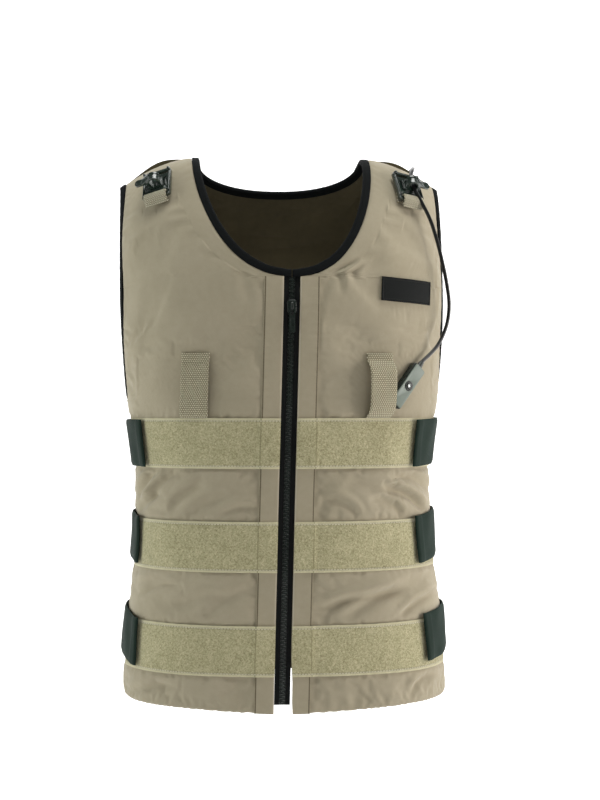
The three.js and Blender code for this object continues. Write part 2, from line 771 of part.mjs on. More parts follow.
// Controller on the lead, its lower end tucked behind the left chest loop
const controllerSeat = seatGroup(
  controllerOut,
  -controllerDown,
  controllerStandoff,
  controllerTilt,
);
const bodyTop = controllerBodyThickness;
const plateLow = bodyTop + seamGap;
const plateTop = plateLow + controllerPlateThickness;
const bezelRadius = buttonDiameter / 2 + seamGap + bezelWall;
const disc = (radius, low, high) => (
  new THREE.CylinderGeometry(radius, radius, high - low, 20).translate(0, -(low + high) / 2, 0)
);
const bezel = cut(
  disc(bezelRadius, bodyTop - 1, plateTop + bezelProud),
  disc(buttonDiameter / 2 + seamGap, bodyTop, plateTop + 2),
);
const controllerBody = join(block(controllerWidth, 0, bodyTop, controllerLength), bezel);
add('controller_body', controllerBody, blackPlastic, controllerSeat);
const plate = cut(
  block(controllerWidth - 2, plateLow, plateTop, controllerLength - 2),
  disc(bezelRadius + seamGap, 0, plateTop + 2),
);
add('controller_plate', plate, greyPlastic, controllerSeat);
const buttonLow = bodyTop + seamGap + buttonStroke;
const button = disc(buttonDiameter / 2, buttonLow, plateTop + buttonProud);
add('controller_button', button, steel, controllerSeat);

// Port on the back of the left shoulder, a tapered stub that the lead comes out of
const route = leadPoints.map((point) => new THREE.Vector3(...point));
const glandTurn = turnAt(gland.out, -gland.down);
const glandFoot = skinPoint('back', 1, glandTurn, -gland.down)
  .addScaledVector(skinNormal('back', 1, glandTurn, -gland.down), glandRadius * 1.05);
const exitWay = route[0].clone().sub(glandFoot).normalize();
const stub = new THREE.LatheGeometry([
  new THREE.Vector2(0, -glandLength),
  new THREE.Vector2(glandRadius, -glandLength),
  new THREE.Vector2(glandRadius, -glandLength * 0.7),
  new THREE.Vector2(leadDiameter * 0.75, 0),
  new THREE.Vector2(0, 0),
], 12);
const glandSeat = new THREE.Group();
glandSeat.position.copy(route[0]).addScaledVector(exitWay, -seamGap);
glandSeat.quaternion.setFromUnitVectors(new THREE.Vector3(0, 1, 0), exitWay);
vest.add(glandSeat);
add('lead_gland', stub, blackRubber, glandSeat);

// Lead, a plain round tube that ends at the controller's upper end
const controllerEnd = controllerSeat.localToWorld(
  new THREE.Vector3(0, -bodyTop / 2, controllerLength / 2 + seamGap),
);
const beforeEnd = controllerSeat.localToWorld(
  new THREE.Vector3(0, -bodyTop / 2, controllerLength / 2 + 2 * leadDiameter),
);
const leadRoute = [...route, beforeEnd, controllerEnd];
const leadLine = new THREE.CatmullRomCurve3(leadRoute, false, 'centripetal');
const leadSection = new THREE.Shape();
leadSection.absarc(0, 0, leadDiameter / 2, 0, Math.PI * 2);
add('control_lead', new THREE.ExtrudeGeometry(leadSection, {
  steps: leadSteps, curveSegments: 4, extrudePath: leadLine,
}), blackRubber);

// Zip slider: a plate on the chain with a bridge that the pull's bar turns in
const sliderSeat = seatGroup(closureX(-sliderDown), -sliderDown, chainTop + seamGap);
const bridgeInside = sliderThickness + pullBar + 4 * seamGap;
const bridge = cut(
  block(2 * bridgeHalf, sliderThickness - 0.5, bridgeInside + bridgeWall, bridgeLength),
  block(2 * bridgeHalf + 2, sliderThickness, bridgeInside, bridgeLength - 2 * bridgeWall),
);
const slider = join(block(sliderWidth, 0, sliderThickness, sliderLength), bridge);
add('zip_slider', slider, blackPlastic, sliderSeat);
const pullSeat = new THREE.Group();
const pivotHeight = (sliderThickness + bridgeInside) / 2;
pullSeat.position.set(0, -pivotHeight, -bridgeWall);
sliderSeat.add(pullSeat);
const pullHalf = pullBar / 2;
const pull = cut(
  block(pullWidth, -pullHalf, pullHalf, pullLength + pullBar, 0, -pullLength / 2),
  block(2 * bridgeHalf + 1, -pullBar, pullBar, pullEye, 0, -pullHalf - pullEye / 2),
);
add('zip_pull', pull, blackPlastic, pullSeat);

export default vest;
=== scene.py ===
import math

import bpy
import numpy as np
from mathutils import Matrix, Vector


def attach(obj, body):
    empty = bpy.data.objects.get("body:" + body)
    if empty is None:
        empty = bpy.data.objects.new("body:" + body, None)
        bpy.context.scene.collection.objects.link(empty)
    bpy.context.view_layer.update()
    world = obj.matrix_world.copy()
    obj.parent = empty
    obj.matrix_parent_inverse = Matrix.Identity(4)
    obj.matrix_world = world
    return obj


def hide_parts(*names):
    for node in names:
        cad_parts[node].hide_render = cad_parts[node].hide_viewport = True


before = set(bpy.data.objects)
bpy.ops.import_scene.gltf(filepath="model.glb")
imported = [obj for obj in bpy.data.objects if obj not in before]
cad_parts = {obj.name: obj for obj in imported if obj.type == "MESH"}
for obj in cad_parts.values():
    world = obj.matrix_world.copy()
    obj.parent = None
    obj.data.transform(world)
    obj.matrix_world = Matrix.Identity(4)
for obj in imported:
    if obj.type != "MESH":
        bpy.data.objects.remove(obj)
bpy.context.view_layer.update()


# Camera. The vest is seen at chest height from a metre and a half away and a little from the
# wearer's right. The small shift frames it as it hangs in the picture.
view_turn, view_far, view_level = math.radians(3.5), 1.5, -0.266
bpy.ops.object.camera_add(
    location=(-view_far * math.sin(view_turn), -view_far * math.cos(view_turn), view_level),
    rotation=(math.pi / 2, 0, -view_turn),
)
camera = bpy.context.object
camera.name = "camera"
camera.data.lens = 63.36
camera.data.sensor_width = 36
camera.data.shift_x = 21 / 800
camera.data.shift_y = 10 / 800
bpy.context.scene.camera = camera


# Lead: a thin round lead with a glossy jacket. It leaves the port on the back of the shoulder,
# crosses the seam, runs under the clip's arch and bows down to the controller.
lead_diameter = 0.0038
lead_route = [
    (0.1190, 0.0751, -0.0678), (0.1213, 0.0732, -0.0602), (0.1248, 0.0675, -0.0495),
    (0.1290, 0.0580, -0.0375), (0.1328, 0.0470, -0.0273), (0.1366, 0.0345, -0.0186),
    (0.1398, 0.0220, -0.0126), (0.1416, 0.0090, -0.0096), (0.1420, -0.0060, -0.0094),
    (0.1408, -0.0190, -0.0106), (0.1386, -0.0310, -0.0130), (0.1362, -0.0425, -0.0172),
    (0.1336, -0.0504, -0.0232), (0.1339, -0.0566, -0.0308), (0.1362, -0.0616, -0.0396),
    (0.1416, -0.0654, -0.0515), (0.1505, -0.0675, -0.0700), (0.1575, -0.0680, -0.0910),
    (0.1640, -0.0680, -0.1170), (0.1683, -0.0675, -0.1380), (0.1705, -0.0675, -0.1570),
    (0.1688, -0.0690, -0.1740), (0.1640, -0.0715, -0.1885), (0.1570, -0.0755, -0.2005),
    (0.1490, -0.0795, -0.2090), (0.1403, -0.0837, -0.2167), (0.1361, -0.0859, -0.2223),
]


def smooth_line(points, steps):
    """Points of a centripetal spline through the given ones, close together."""
    row = [Vector(p) for p in points]
    row = [2 * row[0] - row[1], *row, 2 * row[-1] - row[-2]]
    line = []
    for a, b, c, d in zip(row, row[1:], row[2:], row[3:]):
        ta = 0.0
        tb = ta + (b - a).length ** 0.5
        tc = tb + (c - b).length ** 0.5
        td = tc + (d - c).length ** 0.5
        for step in range(steps):
            t = tb + (tc - tb) * step / steps
            ab = a * ((tb - t) / (tb - ta)) + b * ((t - ta) / (tb - ta))
            bc = b * ((tc - t) / (tc - tb)) + c * ((t - tb) / (tc - tb))
            cd = c * ((td - t) / (td - tc)) + d * ((t - tc) / (td - tc))
            abc = ab * ((tc - t) / (tc - ta)) + bc * ((t - ta) / (tc - ta))
            bcd = bc * ((td - t) / (td - tb)) + cd * ((t - tb) / (td - tb))
            line.append(abc * ((tc - t) / (tc - tb)) + bcd * ((t - tb) / (tc - tb)))
    return [*line, Vector(points[-1])]


class Signal:
    """A socket of a material. Sums with it add the Math nodes they need."""

    def __init__(self, tree, socket=None):
        self.tree = tree
        self.socket = socket

    def node(self, kind, settings, sockets, out=0):
        made = self.tree.nodes.new(kind)
        for key, value in settings.items():
            setattr(made, key, value)
        for key, value in sockets.items():
            if isinstance(value, Signal):
                self.tree.links.new(value.socket, made.inputs[key])
            else:
                made.inputs[key].default_value = value
        return Signal(self.tree, made.outputs[out] if len(made.outputs) else None)

    def sum(self, operation, *terms):
        return self.node("ShaderNodeMath", {"operation": operation}, dict(enumerate(terms)))

    def waves(self, pitch):
        """Waves along the signal, with a pitch in metres."""
        return self.sum("SINE", self * (2 * math.pi / pitch))

    def fraction(self):
        return self.sum("FRACT", self)

    def least(self, other):
        return self.sum("MINIMUM", self, other)

    def __abs__(self):
        return self.sum("ABSOLUTE", self)

    def __add__(self, other):
        return self.sum("ADD", self, other)

    __radd__ = __add__

    def __sub__(self, other):
        return self.sum("SUBTRACT", self, other)

    def __rsub__(self, other):
        return self.sum("SUBTRACT", other, self)

    def __mul__(self, other):
        return self.sum("MULTIPLY", self, other)

    __rmul__ = __mul__

    def __truediv__(self, other):
        return self.sum("DIVIDE", self, other)

    def __mod__(self, other):
        return self.sum("FLOORED_MODULO", self, other)

    def __gt__(self, other):
        return self.sum("GREATER_THAN", self, other)

    def __lt__(self, other):
        return self.sum("LESS_THAN", self, other)


def new_finish(name):
    """New material, and the piece's own coordinates in it to start from."""
    finish = bpy.data.materials.new(name)
    finish.use_nodes = True
    finish.node_tree.nodes.clear()
    return finish, Signal(finish.node_tree).node("ShaderNodeTexCoord", {}, {}, "Object")


def dye(red, green, blue):
    """Colour as a paint chart gives it, 0 to 255, turned into light."""
    parts = [c / 255 for c in (red, green, blue)]
    return (*[c / 12.92 if c <= 0.04045 else ((c + 0.055) / 1.055) ** 2.4 for c in parts], 1)


def mixed(amount, low, high):
    return amount.node("ShaderNodeMix", {"data_type": "RGBA"}, {0: amount, 6: low, 7: high}, 2)


def grain(place, size, detail=2.0, roughness=0.5):
    """Even cloudy noise with lumps of about that size in metres."""
    sockets = {"Vector": place, "Scale": 1 / size, "Detail": detail, "Roughness": roughness}
    return place.node("ShaderNodeTexNoise", {}, sockets, "Fac")


def surface(height, depth, strength, sockets):
    """Principled surface with a bump of that depth in metres."""
    bump = {"Height": height, "Distance": depth, "Strength": strength}
    normal = height.node("ShaderNodeBump", {}, bump)
    shader = height.node("ShaderNodeBsdfPrincipled", {}, {**sockets, "Normal": normal})
    height.node("ShaderNodeOutputMaterial", {}, {"Surface": shader})


def dress(piece, node, slot, *finishes, body="vest"):
    """Gives the finished piece its materials, hides the imported part of its node and hangs the
    piece on the body it rides on.
    """
    for finish in finishes:
        piece.data.materials.append(finish)
    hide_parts(node)
    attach(piece, body)


lead_jacket, place = new_finish("glossy lead jacket")
dust = grain(place, 0.004, 3)
scuff = grain(place, 0.0012, 2)
surface(scuff, 0.00005, 0.25, {
    "Base Color": mixed(dust, dye(12, 13, 14), dye(24, 26, 26)),
    "Roughness": 0.22 + 0.16 * dust,
    "Specular IOR Level": 0.55,
})

lead_line = smooth_line(lead_route, 8)
lead_curve = bpy.data.curves.new("control_lead_jacket", "CURVE")
lead_curve.dimensions = "3D"
lead_curve.bevel_depth = lead_diameter / 2
lead_curve.bevel_resolution = 5
lead_curve.use_fill_caps = True
lead_spline = lead_curve.splines.new("POLY")
lead_spline.points.add(len(lead_line) - 1)
for point, place in zip(lead_spline.points, lead_line):
    point.co = (*place, 1)
lead_spline.use_smooth = True
lead = bpy.data.objects.new("control_lead_jacket", lead_curve)
bpy.context.scene.collection.objects.link(lead)
dress(lead, "control_lead", "gloss_black", lead_jacket)


# Front panels: two halves of brushed tan polyester over the thin cooling layer, turned and sewn
# at the edges. Worn, they pull in soft creases between the bands and pucker along the seams.
length = 0.562
chest_half = 0.172
full_depth = {"front": 0.114, "back": 0.108}
squareness = 2.4
wall = 0.005
seam_gap = 0.0003
lean = 0.006
chest_line = 0.180
rounding = 2.1
neck_half = 0.093
neck_drop = 0.134
shoulder_half = 0.163
shoulder_drop = 0.028
armhole_depth = 0.255
zip_half = 0.0082
facing_width = 0.0195
band_height = 0.050
band_tops = [-0.27403, -0.37654, -0.47905]
# level, width, front and back depth of the torso's sections, as shares
torso = np.array([
    (0.00, 1.000, 1.00, 1.00), (0.28, 1.000, 1.00, 1.00), (0.35, 0.988, 1.00, 1.00),
    (0.41, 0.968, 1.00, 0.98), (0.46, 0.945, 1.00, 0.96), (0.50, 0.925, 0.99, 0.94),
    (0.55, 0.905, 0.98, 0.92), (0.60, 0.893, 0.97, 0.91), (0.68, 0.900, 0.97, 0.92),
    (0.76, 0.917, 0.98, 0.96), (0.83, 0.945, 0.98, 1.01), (0.90, 0.968, 0.98, 1.04),
    (1.00, 0.985, 0.99, 1.05),
])
torso_column = {"width": 1, "front": 2, "back": 3}


def torso_share(column, z):
    levels = torso[:, 0]
    values = torso[:, torso_column[column]]
    slopes = np.gradient(values, levels)
    slopes[1:-1] = (values[2:] - values[:-2]) / (levels[2:] - levels[:-2])
    at = np.clip(-z / length, 0, 1)
    k = np.clip(np.searchsorted(levels, at, side="right") - 1, 0, len(levels) - 2)
    run = levels[k + 1] - levels[k]
    s = (at - levels[k]) / run
    rise = (1 + 2 * s) * values[k] + s * run * slopes[k]
    fall = (3 - 2 * s) * values[k + 1] - (1 - s) * run * slopes[k + 1]
    return (1 - s) ** 2 * rise + s ** 2 * fall


def half_width(z):
    return chest_half * torso_share("width", z)


def seam_height(x):
    past = np.maximum(0, np.abs(x) - neck_half) / (shoulder_half - neck_half)
    return -shoulder_drop * past ** 1.6


def turn_at(x, z):
    return np.arcsin(np.minimum(1, np.abs(x) / half_width(z)) ** (squareness / 2))


def reach(turn, z):
    return half_width(z) * np.sin(turn) ** (2 / squareness)


def skin(face, side, turn, z):
    """Points of the cloth's outer face, from the turn round the torso and the height."""
    x = reach(turn, z)
    share = np.maximum(0, (z + chest_line) / (seam_height(x) + chest_line))
    left = np.maximum(0, 1 - share ** rounding) ** (1 / rounding)
    bend = np.maximum(0, np.cos(turn)) ** (2 / squareness)
    out = full_depth[face] * torso_share(face, z) * bend * left + seam_gap / 2
    return np.stack([side * x - lean * z / length, out if face == "back" else -out, z], -1)


def skin_normal(face, side, turn, z):
    x = reach(turn, z)
    top = seam_height(x)
    step = math.radians(0.4)
    across = (skin(face, side, np.minimum(math.pi / 2, turn + step), z)
              - skin(face, side, np.maximum(0, turn - step), z))
    up = (skin(face, side, turn, np.minimum(top, z + 0.0008))
          - skin(face, side, turn, z - 0.0008))
    normal = np.cross(across, up)
    out = 1 if face == "back" else -1
    normal = normal * np.where(normal[..., 1] * out < 0, -1, 1)[..., None]
    normal[..., 1] = np.where(turn > math.radians(89.99), 0, normal[..., 1])
    crest = np.stack([
        -side * (seam_height(x + 0.0005) - seam_height(x - 0.0005)) / 0.001,
        np.zeros_like(x), np.ones_like(x),
    ], -1)
    normal = np.where((top - z < 0.00001)[..., None], crest, normal)
    return normal / np.linalg.norm(normal, axis=-1, keepdims=True)


def off_skin(face, side, turn, z, height):
    turn, z, height = np.broadcast_arrays(turn, z, height)
    return skin(face, side, turn, z) + skin_normal(face, side, turn, z) * height[..., None]


def closure_x(z):
    low = 0.005 + (z + neck_drop) / (-length + neck_drop) * -0.015
    return np.where(z > -neck_drop, 0.005 * (z / -neck_drop) ** 2, low)


def inner_edge(side, z):
    fall = np.clip(-z / neck_drop, 0, 1)
    neckline = neck_half * (1 - fall ** 1.9) ** (1 / 2.25)
    return side * closure_x(z) + np.maximum(zip_half, neckline)


def armhole_edge(z):
    share = np.clip((z + armhole_depth) / (armhole_depth - shoulder_drop), 0, 1)
    swing = (1 - (1 - np.minimum(1, share / 0.45)) ** 2.4) ** (1 / 2.4)
    return np.radians(90 - 17 * swing - 4.3 * share ** 4)


def row_height(x, level, top=None):
    top = seam_height(x) if top is None else top
    return np.where(level <= -chest_line, level,
                    -chest_line + (top + chest_line) * (level / chest_line + 1))


def soft_step(low, high, value):
    share = np.clip((value - low) / (high - low), 0, 1)
    return share * share * (3 - 2 * share)


# Creases of the fronts: side, start and end as distance out and height, width and depth
creases = [
    (-1, 0.130, -0.322, 0.152, -0.360, 0.0036, 0.0054),
    (-1, 0.108, -0.322, 0.140, -0.356, 0.0036, 0.0038),
    (-1, 0.130, -0.348, 0.154, -0.374, 0.0040, 0.0050),
    (-1, 0.088, -0.338, 0.120, -0.366, 0.0060, 0.0030),
    (-1, 0.062, -0.350, 0.104, -0.372, 0.0060, 0.0026),
    (-1, 0.030, -0.362, 0.070, -0.368, 0.0045, 0.0024),
    (-1, 0.094, -0.426, 0.150, -0.442, 0.0046, 0.0050),
    (-1, 0.112, -0.438, 0.150, -0.452, 0.0042, 0.0036),
    (-1, 0.060, -0.446, 0.118, -0.460, 0.0070, 0.0028),
    (-1, 0.035, -0.440, 0.090, -0.470, 0.0080, 0.0022),
    (-1, 0.120, -0.538, 0.160, -0.552, 0.0050, 0.0040),
    (-1, 0.060, -0.186, 0.120, -0.250, 0.0220, 0.0012),
    (-1, 0.142, -0.150, 0.150, -0.262, 0.0120, 0.0014),
    (1, 0.100, -0.342, 0.142, -0.364, 0.0042, 0.0062),
    (1, 0.112, -0.330, 0.150, -0.346, 0.0048, 0.0044),
    (1, 0.084, -0.352, 0.120, -0.372, 0.0046, 0.0036),
    (1, 0.056, -0.334, 0.112, -0.350, 0.0070, 0.0028),
    (1, 0.036, -0.352, 0.070, -0.370, 0.0050, 0.0024),
    (1, 0.034, -0.458, 0.116, -0.446, 0.0048, 0.0048),
    (1, 0.050, -0.470, 0.140, -0.432, 0.0070, 0.0030),
    (1, 0.110, -0.470, 0.158, -0.452, 0.0046, 0.0040),
    (1, 0.120, -0.546, 0.156, -0.534, 0.0050, 0.0040),
    (1, 0.056, -0.160, 0.100, -0.236, 0.0200, 0.0012),
    (1, 0.046, -0.124, 0.056, -0.146, 0.0042, 0.0018),
    (1, 0.056, -0.114, 0.070, -0.136, 0.0042, 0.0018),
]


def creased(x, z, rows, bulge, fade, ridge):
    """Lift of the creases in a table, each a valley with a ridge beside it."""
    lift = np.zeros_like(x + z)
    for x0, z0, x1, z1, width, depth in rows:
        dx, dz = x1 - x0, z1 - z0
        span = math.hypot(dx, dz)
        along = ((x - x0) * dx + (z - z0) * dz) / span ** 2
        off = ((x - x0) * dz - (z - z0) * dx) / span
        off = off + bulge * np.sin(math.pi * np.clip(along, 0, 1))
        ends = soft_step(-0.18, fade, along) * soft_step(1.18, 1 - fade, along)
        lift += depth * ends * (ridge * np.exp(-((off + 0.9 * width) / width) ** 2)
                                - np.exp(-((off - 0.5 * width) / width) ** 2))
    return lift


def relief(side, x, z):
    """How far the worn cloth of a front stands off its plain form, at a distance out."""
    swell = (0.0007 * np.sin(31 * x + 17 * z + 1.3 * side) * np.sin(43 * z - 11 * x + 0.7)
             + 0.0004 * np.sin(71 * x - 53 * z + 2.1 * side))
    lift = creased(x, z, [row[1:] for row in creases if row[0] == side], 0.004, 0.22, 0.75)
    for top in band_tops:
        held = soft_step(0.010, 0.002, np.maximum(z - top, top - band_height - z))
        lift = lift * (1 - held)
    lift = lift * (1 - 0.6 * soft_step(0.138, 0.156, x + 0 * z))
    return (lift + swell) * soft_step(0.008, 0.035, x) * soft_step(0, 0.03, -z)


def place_on_front(side, x, z, height):
    """Points at a height off the worn cloth of a front, at a distance out."""
    return off_skin("front", side, turn_at(x, z), z, relief(side, x, z) + height)


def grid_faces(rows, columns, start=0):
    return [
        (a, a + 1, a + columns + 1, a + columns)
        for a in (start + r * columns + k for r in range(rows - 1) for k in range(columns - 1))
    ]


def woven(name, points, faces, uv):
    """Piece of cloth from points and faces, with its weave's own coordinates in metres."""
    mesh = bpy.data.meshes.new(name)
    mesh.from_pydata(points.reshape(-1, 3).tolist(), [], faces)
    order = np.empty(len(mesh.loops), dtype=np.int32)
    mesh.loops.foreach_get("vertex_index", order)
    layer = mesh.uv_layers.new(name="weave")
    layer.data.foreach_set("uv", uv.reshape(-1, 2)[order].ravel())
    piece = bpy.data.objects.new(name, mesh)
    bpy.context.scene.collection.objects.link(piece)
    return piece


def pick(piece):
    """The piece alone is selected and active, as for work by hand."""
    if bpy.context.object and bpy.context.object.mode == "EDIT":
        bpy.ops.object.mode_set(mode="OBJECT")
    bpy.ops.object.select_all(action="DESELECT")
    piece.select_set(True)
    bpy.context.view_layer.objects.active = piece


def outward(piece, angle=50):
    """Faces turned outwards, and shading smooth except over sharp edges."""
    pick(piece)
    bpy.ops.object.mode_set(mode="EDIT")
    bpy.ops.mesh.select_all(action="SELECT")
    bpy.ops.mesh.normals_make_consistent(inside=False)
    bpy.ops.object.mode_set(mode="OBJECT")
    bpy.ops.object.shade_smooth_by_angle(angle=math.radians(angle))
    return piece


def shell(name, outer, inner, along, across, angle=60):
    """Closed piece of cloth or tape between two grids of points, with its weave in metres."""
    rows, columns = outer.shape[:2]
    count = rows * columns
    rim = [*range(columns), *range(2 * columns - 1, count, columns)]
    rim += [*range(count - 2, count - columns - 1, -1)]
    rim += [*range(count - 2 * columns, 0, -columns)]
    sides = [(b, a, a + count, b + count) for a, b in zip(rim, rim[1:] + rim[:1])]
    back = [face[::-1] for face in grid_faces(rows, columns, count)]
    points = np.concatenate([outer.reshape(-1, 3), inner.reshape(-1, 3)])
    faces = grid_faces(rows, columns) + back + sides
    uv = np.stack(np.broadcast_arrays(along, across, outer[..., 0])[:2], -1)
    return outward(woven(name, points, faces, np.tile(uv.reshape(-1, 2), (2, 1))), angle)


def arc_lengths(grid, axis):
    """Distance along each row or column of a grid of points."""
    steps = np.linalg.norm(np.diff(grid, axis=axis), axis=-1)
    start = np.zeros_like(np.take(steps, [0], axis=axis))
    return np.concatenate([start, np.cumsum(steps, axis=axis)], axis=axis)


def settle(shape, held, room, slack, pressure, cap):
    """The sheet once it has pulled itself into creases between the places where it is sewn."""
    piece = woven("raw", shape, grid_faces(*held.shape), np.zeros((*held.shape, 2)))
    sheet = piece.modifiers.new("cloth", "CLOTH")
    group = piece.vertex_groups.new(name="sewn")
    for index, weight in enumerate(held.ravel().tolist()):
        if weight > 0:
            group.add([index], weight, "REPLACE")
    cloth = sheet.settings
    cloth.vertex_group_mass = "sewn"
    cloth.quality = 6
    cloth.mass = 0.12
    cloth.tension_stiffness = 18
    cloth.compression_stiffness = 18
    cloth.shear_stiffness = 8
    cloth.bending_stiffness = 0.6
    cloth.shrink_min = -slack
    cloth.use_pressure = True
    cloth.uniform_pressure_force = pressure
    cloth.effector_weights.gravity = 0
    sheet.collision_settings.use_collision = False
    sheet.collision_settings.use_self_collision = False
    sheet.point_cache.frame_start = 1
    sheet.point_cache.frame_end = 20
    for moment in range(1, 21):
        bpy.context.scene.frame_set(moment)
    ready = piece.evaluated_get(bpy.context.evaluated_depsgraph_get()).data
    count = len(piece.data.vertices)
    plain = np.empty(count * 3)
    moved = np.empty(count * 3)
    piece.data.vertices.foreach_get("co", plain)
    ready.vertices.foreach_get("co", moved)
    step = (moved - plain).reshape(-1, 3)
    far = np.linalg.norm(step, axis=1, keepdims=True)
    limit = cap * room.reshape(-1, 1)
    step *= limit / np.maximum(1e-9, far + limit)
    piece.modifiers.remove(sheet)
    bpy.context.scene.frame_set(1)
    bpy.data.objects.remove(piece)
    return (plain.reshape(-1, 3) + step).reshape(shape.shape)


def finer(grid):
    """The grid with a point added between each two, on a smooth line."""
    for axis in (0, 1):
        grid = np.moveaxis(grid, axis, 0)
        padded = np.concatenate([2 * grid[:1] - grid[1:2], grid, 2 * grid[-1:] - grid[-2:-1]])
        middle = (9 * (padded[1:-2] + padded[2:-1]) - padded[:-3] - padded[3:]) / 16
        out = np.empty((2 * len(grid) - 1, *grid.shape[1:]))
        out[0::2] = grid
        out[1::2] = middle
        grid = np.moveaxis(out, 0, axis)
    return grid


def pucker(along, away, reach_in, pitch, depth):
    """Small gathers that a seam draws into the cloth beside it."""
    wave = (np.sin(2 * math.pi * along / pitch + 3 * np.sin(along * 61))
            + 0.6 * np.sin(2 * math.pi * along / (pitch * 0.63) + 5 * np.sin(along * 37) + 1))
    return depth * wave * np.exp(-np.maximum(0, away) / reach_in) * soft_step(0, 0.001, away)


def rolled(away, radius, depth):
    """How far the turned edge of a panel rolls in, at a distance from that edge."""
    share = 1 - np.clip(away / radius, 0, 1)
    return depth * (1 - np.sqrt(np.maximum(0, 1 - share ** 2)))


def quilted(name, sheet, smooth, at_seam, gather, border, bound, along, across):
    """Padded panel round its settled sheet, gathered at the seams and rolled in at its border.
    The normals are the smooth ones at the shoulder seam, and bound edges roll in less."""
    normal = np.cross(np.gradient(sheet, axis=0), np.gradient(sheet, axis=1))
    normal /= np.maximum(1e-12, np.linalg.norm(normal, axis=-1, keepdims=True))
    facing = np.sum(normal * smooth, axis=-1, keepdims=True)
    normal = np.where(at_seam[..., None], smooth, normal * np.where(facing < 0, -1, 1))
    normal /= np.linalg.norm(normal, axis=-1, keepdims=True)
    roll = rolled(border, 0.0032, 0.0019) * np.where(bound, 0.35, 1)
    outer = sheet + normal * (gather - roll)[..., None]
    inner = sheet + normal * (gather * 0.3 + roll - wall)[..., None]
    return shell(name, outer, inner, along, across)


def hem_sag(x, from_hem):
    """How far the front hem hangs below the back's towards the zip."""
    return 0.0038 * np.exp(-(x / 0.075) ** 2) * soft_step(0.045, 0, from_hem)


chest_levels = -chest_line * np.linspace(0, 1, 40)[:-1] ** 2
neckline_levels = -neck_drop * np.array([0.975, 0.988, 0.996, 1.0, 1.012])
lower_levels = np.linspace(-chest_line, -length, 112)
front_levels = np.unique(np.concatenate([chest_levels, neckline_levels, lower_levels]))[::-1]
sides = (("right", -1), ("left", 1))
front_panels = {}
for name, side in sides:
    level = front_levels[:, None]
    edge = inner_edge(side, level)
    first = turn_at(edge, level)
    seam = turn_at(edge + facing_width, level)
    at_shoulder = row_height(np.full_like(level, shoulder_half), level)
    last = np.where(level > -armhole_depth, armhole_edge(at_shoulder), math.pi / 2)
    turn = np.concatenate([
        first + (seam - first) * np.linspace(0, 1, 6)[None, :-1],
        seam + (last - seam) * np.linspace(0, 1, 64)[None, :],
    ], 1)
    out = reach(turn, level)
    height = row_height(out, level)
    normal = skin_normal("front", side, turn, height)
    plain = skin("front", side, turn, height)
    shape = plain + normal * relief(side, out, height)[..., None]
    run = arc_lengths(plain, 1)
    from_side = run[:, -1:] - run
    drop = arc_lengths(plain, 0)
    from_hem = drop[-1:] - drop
    sewn = np.exp(-(np.minimum(run, from_side) / 0.006) ** 2)
    sewn = np.maximum(sewn, run < facing_width + 0.001)
    sewn = np.maximum(sewn, np.exp(-(from_hem / 0.005) ** 2))
    sewn = np.maximum(sewn, np.exp(-((height + 0.004) / 0.030) ** 2))
    for top in band_tops:
        beyond = np.maximum(height - top, top - band_height - height)
        sewn = np.maximum(sewn, beyond < 0.001)
    # where a chest loop, a clip, the controller and the left side's patch hold the cloth
    held = [(-0.275, -0.200, 0.066, 0.112), (-0.064, 0, 0.108, 0.160),
            (-0.270, -0.212, 0.098, 0.150)]
    if side > 0:
        held.append((-0.168, -0.124, 0.094, 0.154))
    for low, high, near, far in held:
        spot = (height > low) & (height < high) & (out > near) & (out < far)
        sewn = np.maximum(sewn, spot * 0.9)
    calm = 0.45 + 0.55 * soft_step(-0.262, -0.276, height)
    shape = settle(shape, sewn, (1 - 0.9 * sewn) * calm, 0.035, 1.2, 0.0042)
    shape[..., 2] -= hem_sag(out, from_hem)
    fine_out = finer(out)
    fine_height = finer(height)
    fine_run = finer(run)
    fine_side = fine_run[:, -1:] - fine_run
    fine_hem = finer(from_hem)
    off_facing = np.where(fine_height < -neck_drop, fine_run - facing_width, 1)
    gather = pucker(fine_height, off_facing, 0.007, 0.0085, 0.00030)
    neck_line = np.where(fine_height > -neck_drop, fine_run, 1)
    gather += pucker(fine_height + 0.6 * fine_out, neck_line, 0.008, 0.0080, 0.00035)
    gather += pucker(fine_height, fine_side, 0.007, 0.0090, 0.00016)
    gather += pucker(fine_out, fine_hem, 0.006, 0.0105, 0.00035)
    for top in band_tops:
        for off in (fine_height - top, top - band_height - fine_height):
            near = np.where(off > 0, off, 1)
            gather += pucker(fine_out, near, 0.006, 0.0100, 0.00028)
            gather -= 0.0007 * np.exp(-np.abs(off - 0.0015) / 0.0030)
    gather *= soft_step(0.0005, 0.003, np.minimum(fine_run, fine_side))
    gather *= soft_step(0.0, 0.012, -fine_height)
    border = np.minimum(np.minimum(fine_run, fine_side), fine_hem)
    bound = ((fine_height > -neck_drop) & (fine_run < 0.006)) | (
        (fine_height > -armhole_depth) & (fine_side < 0.006))
    panel = quilted(f"front_panel_{name}_cloth", finer(shape), finer(normal),
                    fine_height > -0.004, gather, border, bound,
                    fine_run + inner_edge(side, fine_height), fine_height)
    front_panels[name] = (panel, *fine_height.shape)
    dress(panel, f"front_panel_{name}", "tan_cloth")


def weave_place(place):
    """Distances along and across the weave, from the piece's own map in metres."""
    uv = place.node("ShaderNodeUVMap", {"uv_map": "weave"}, {})
    return [uv.node("ShaderNodeSeparateXYZ", {}, {"Vector": uv}, axis) for axis in "XY"]


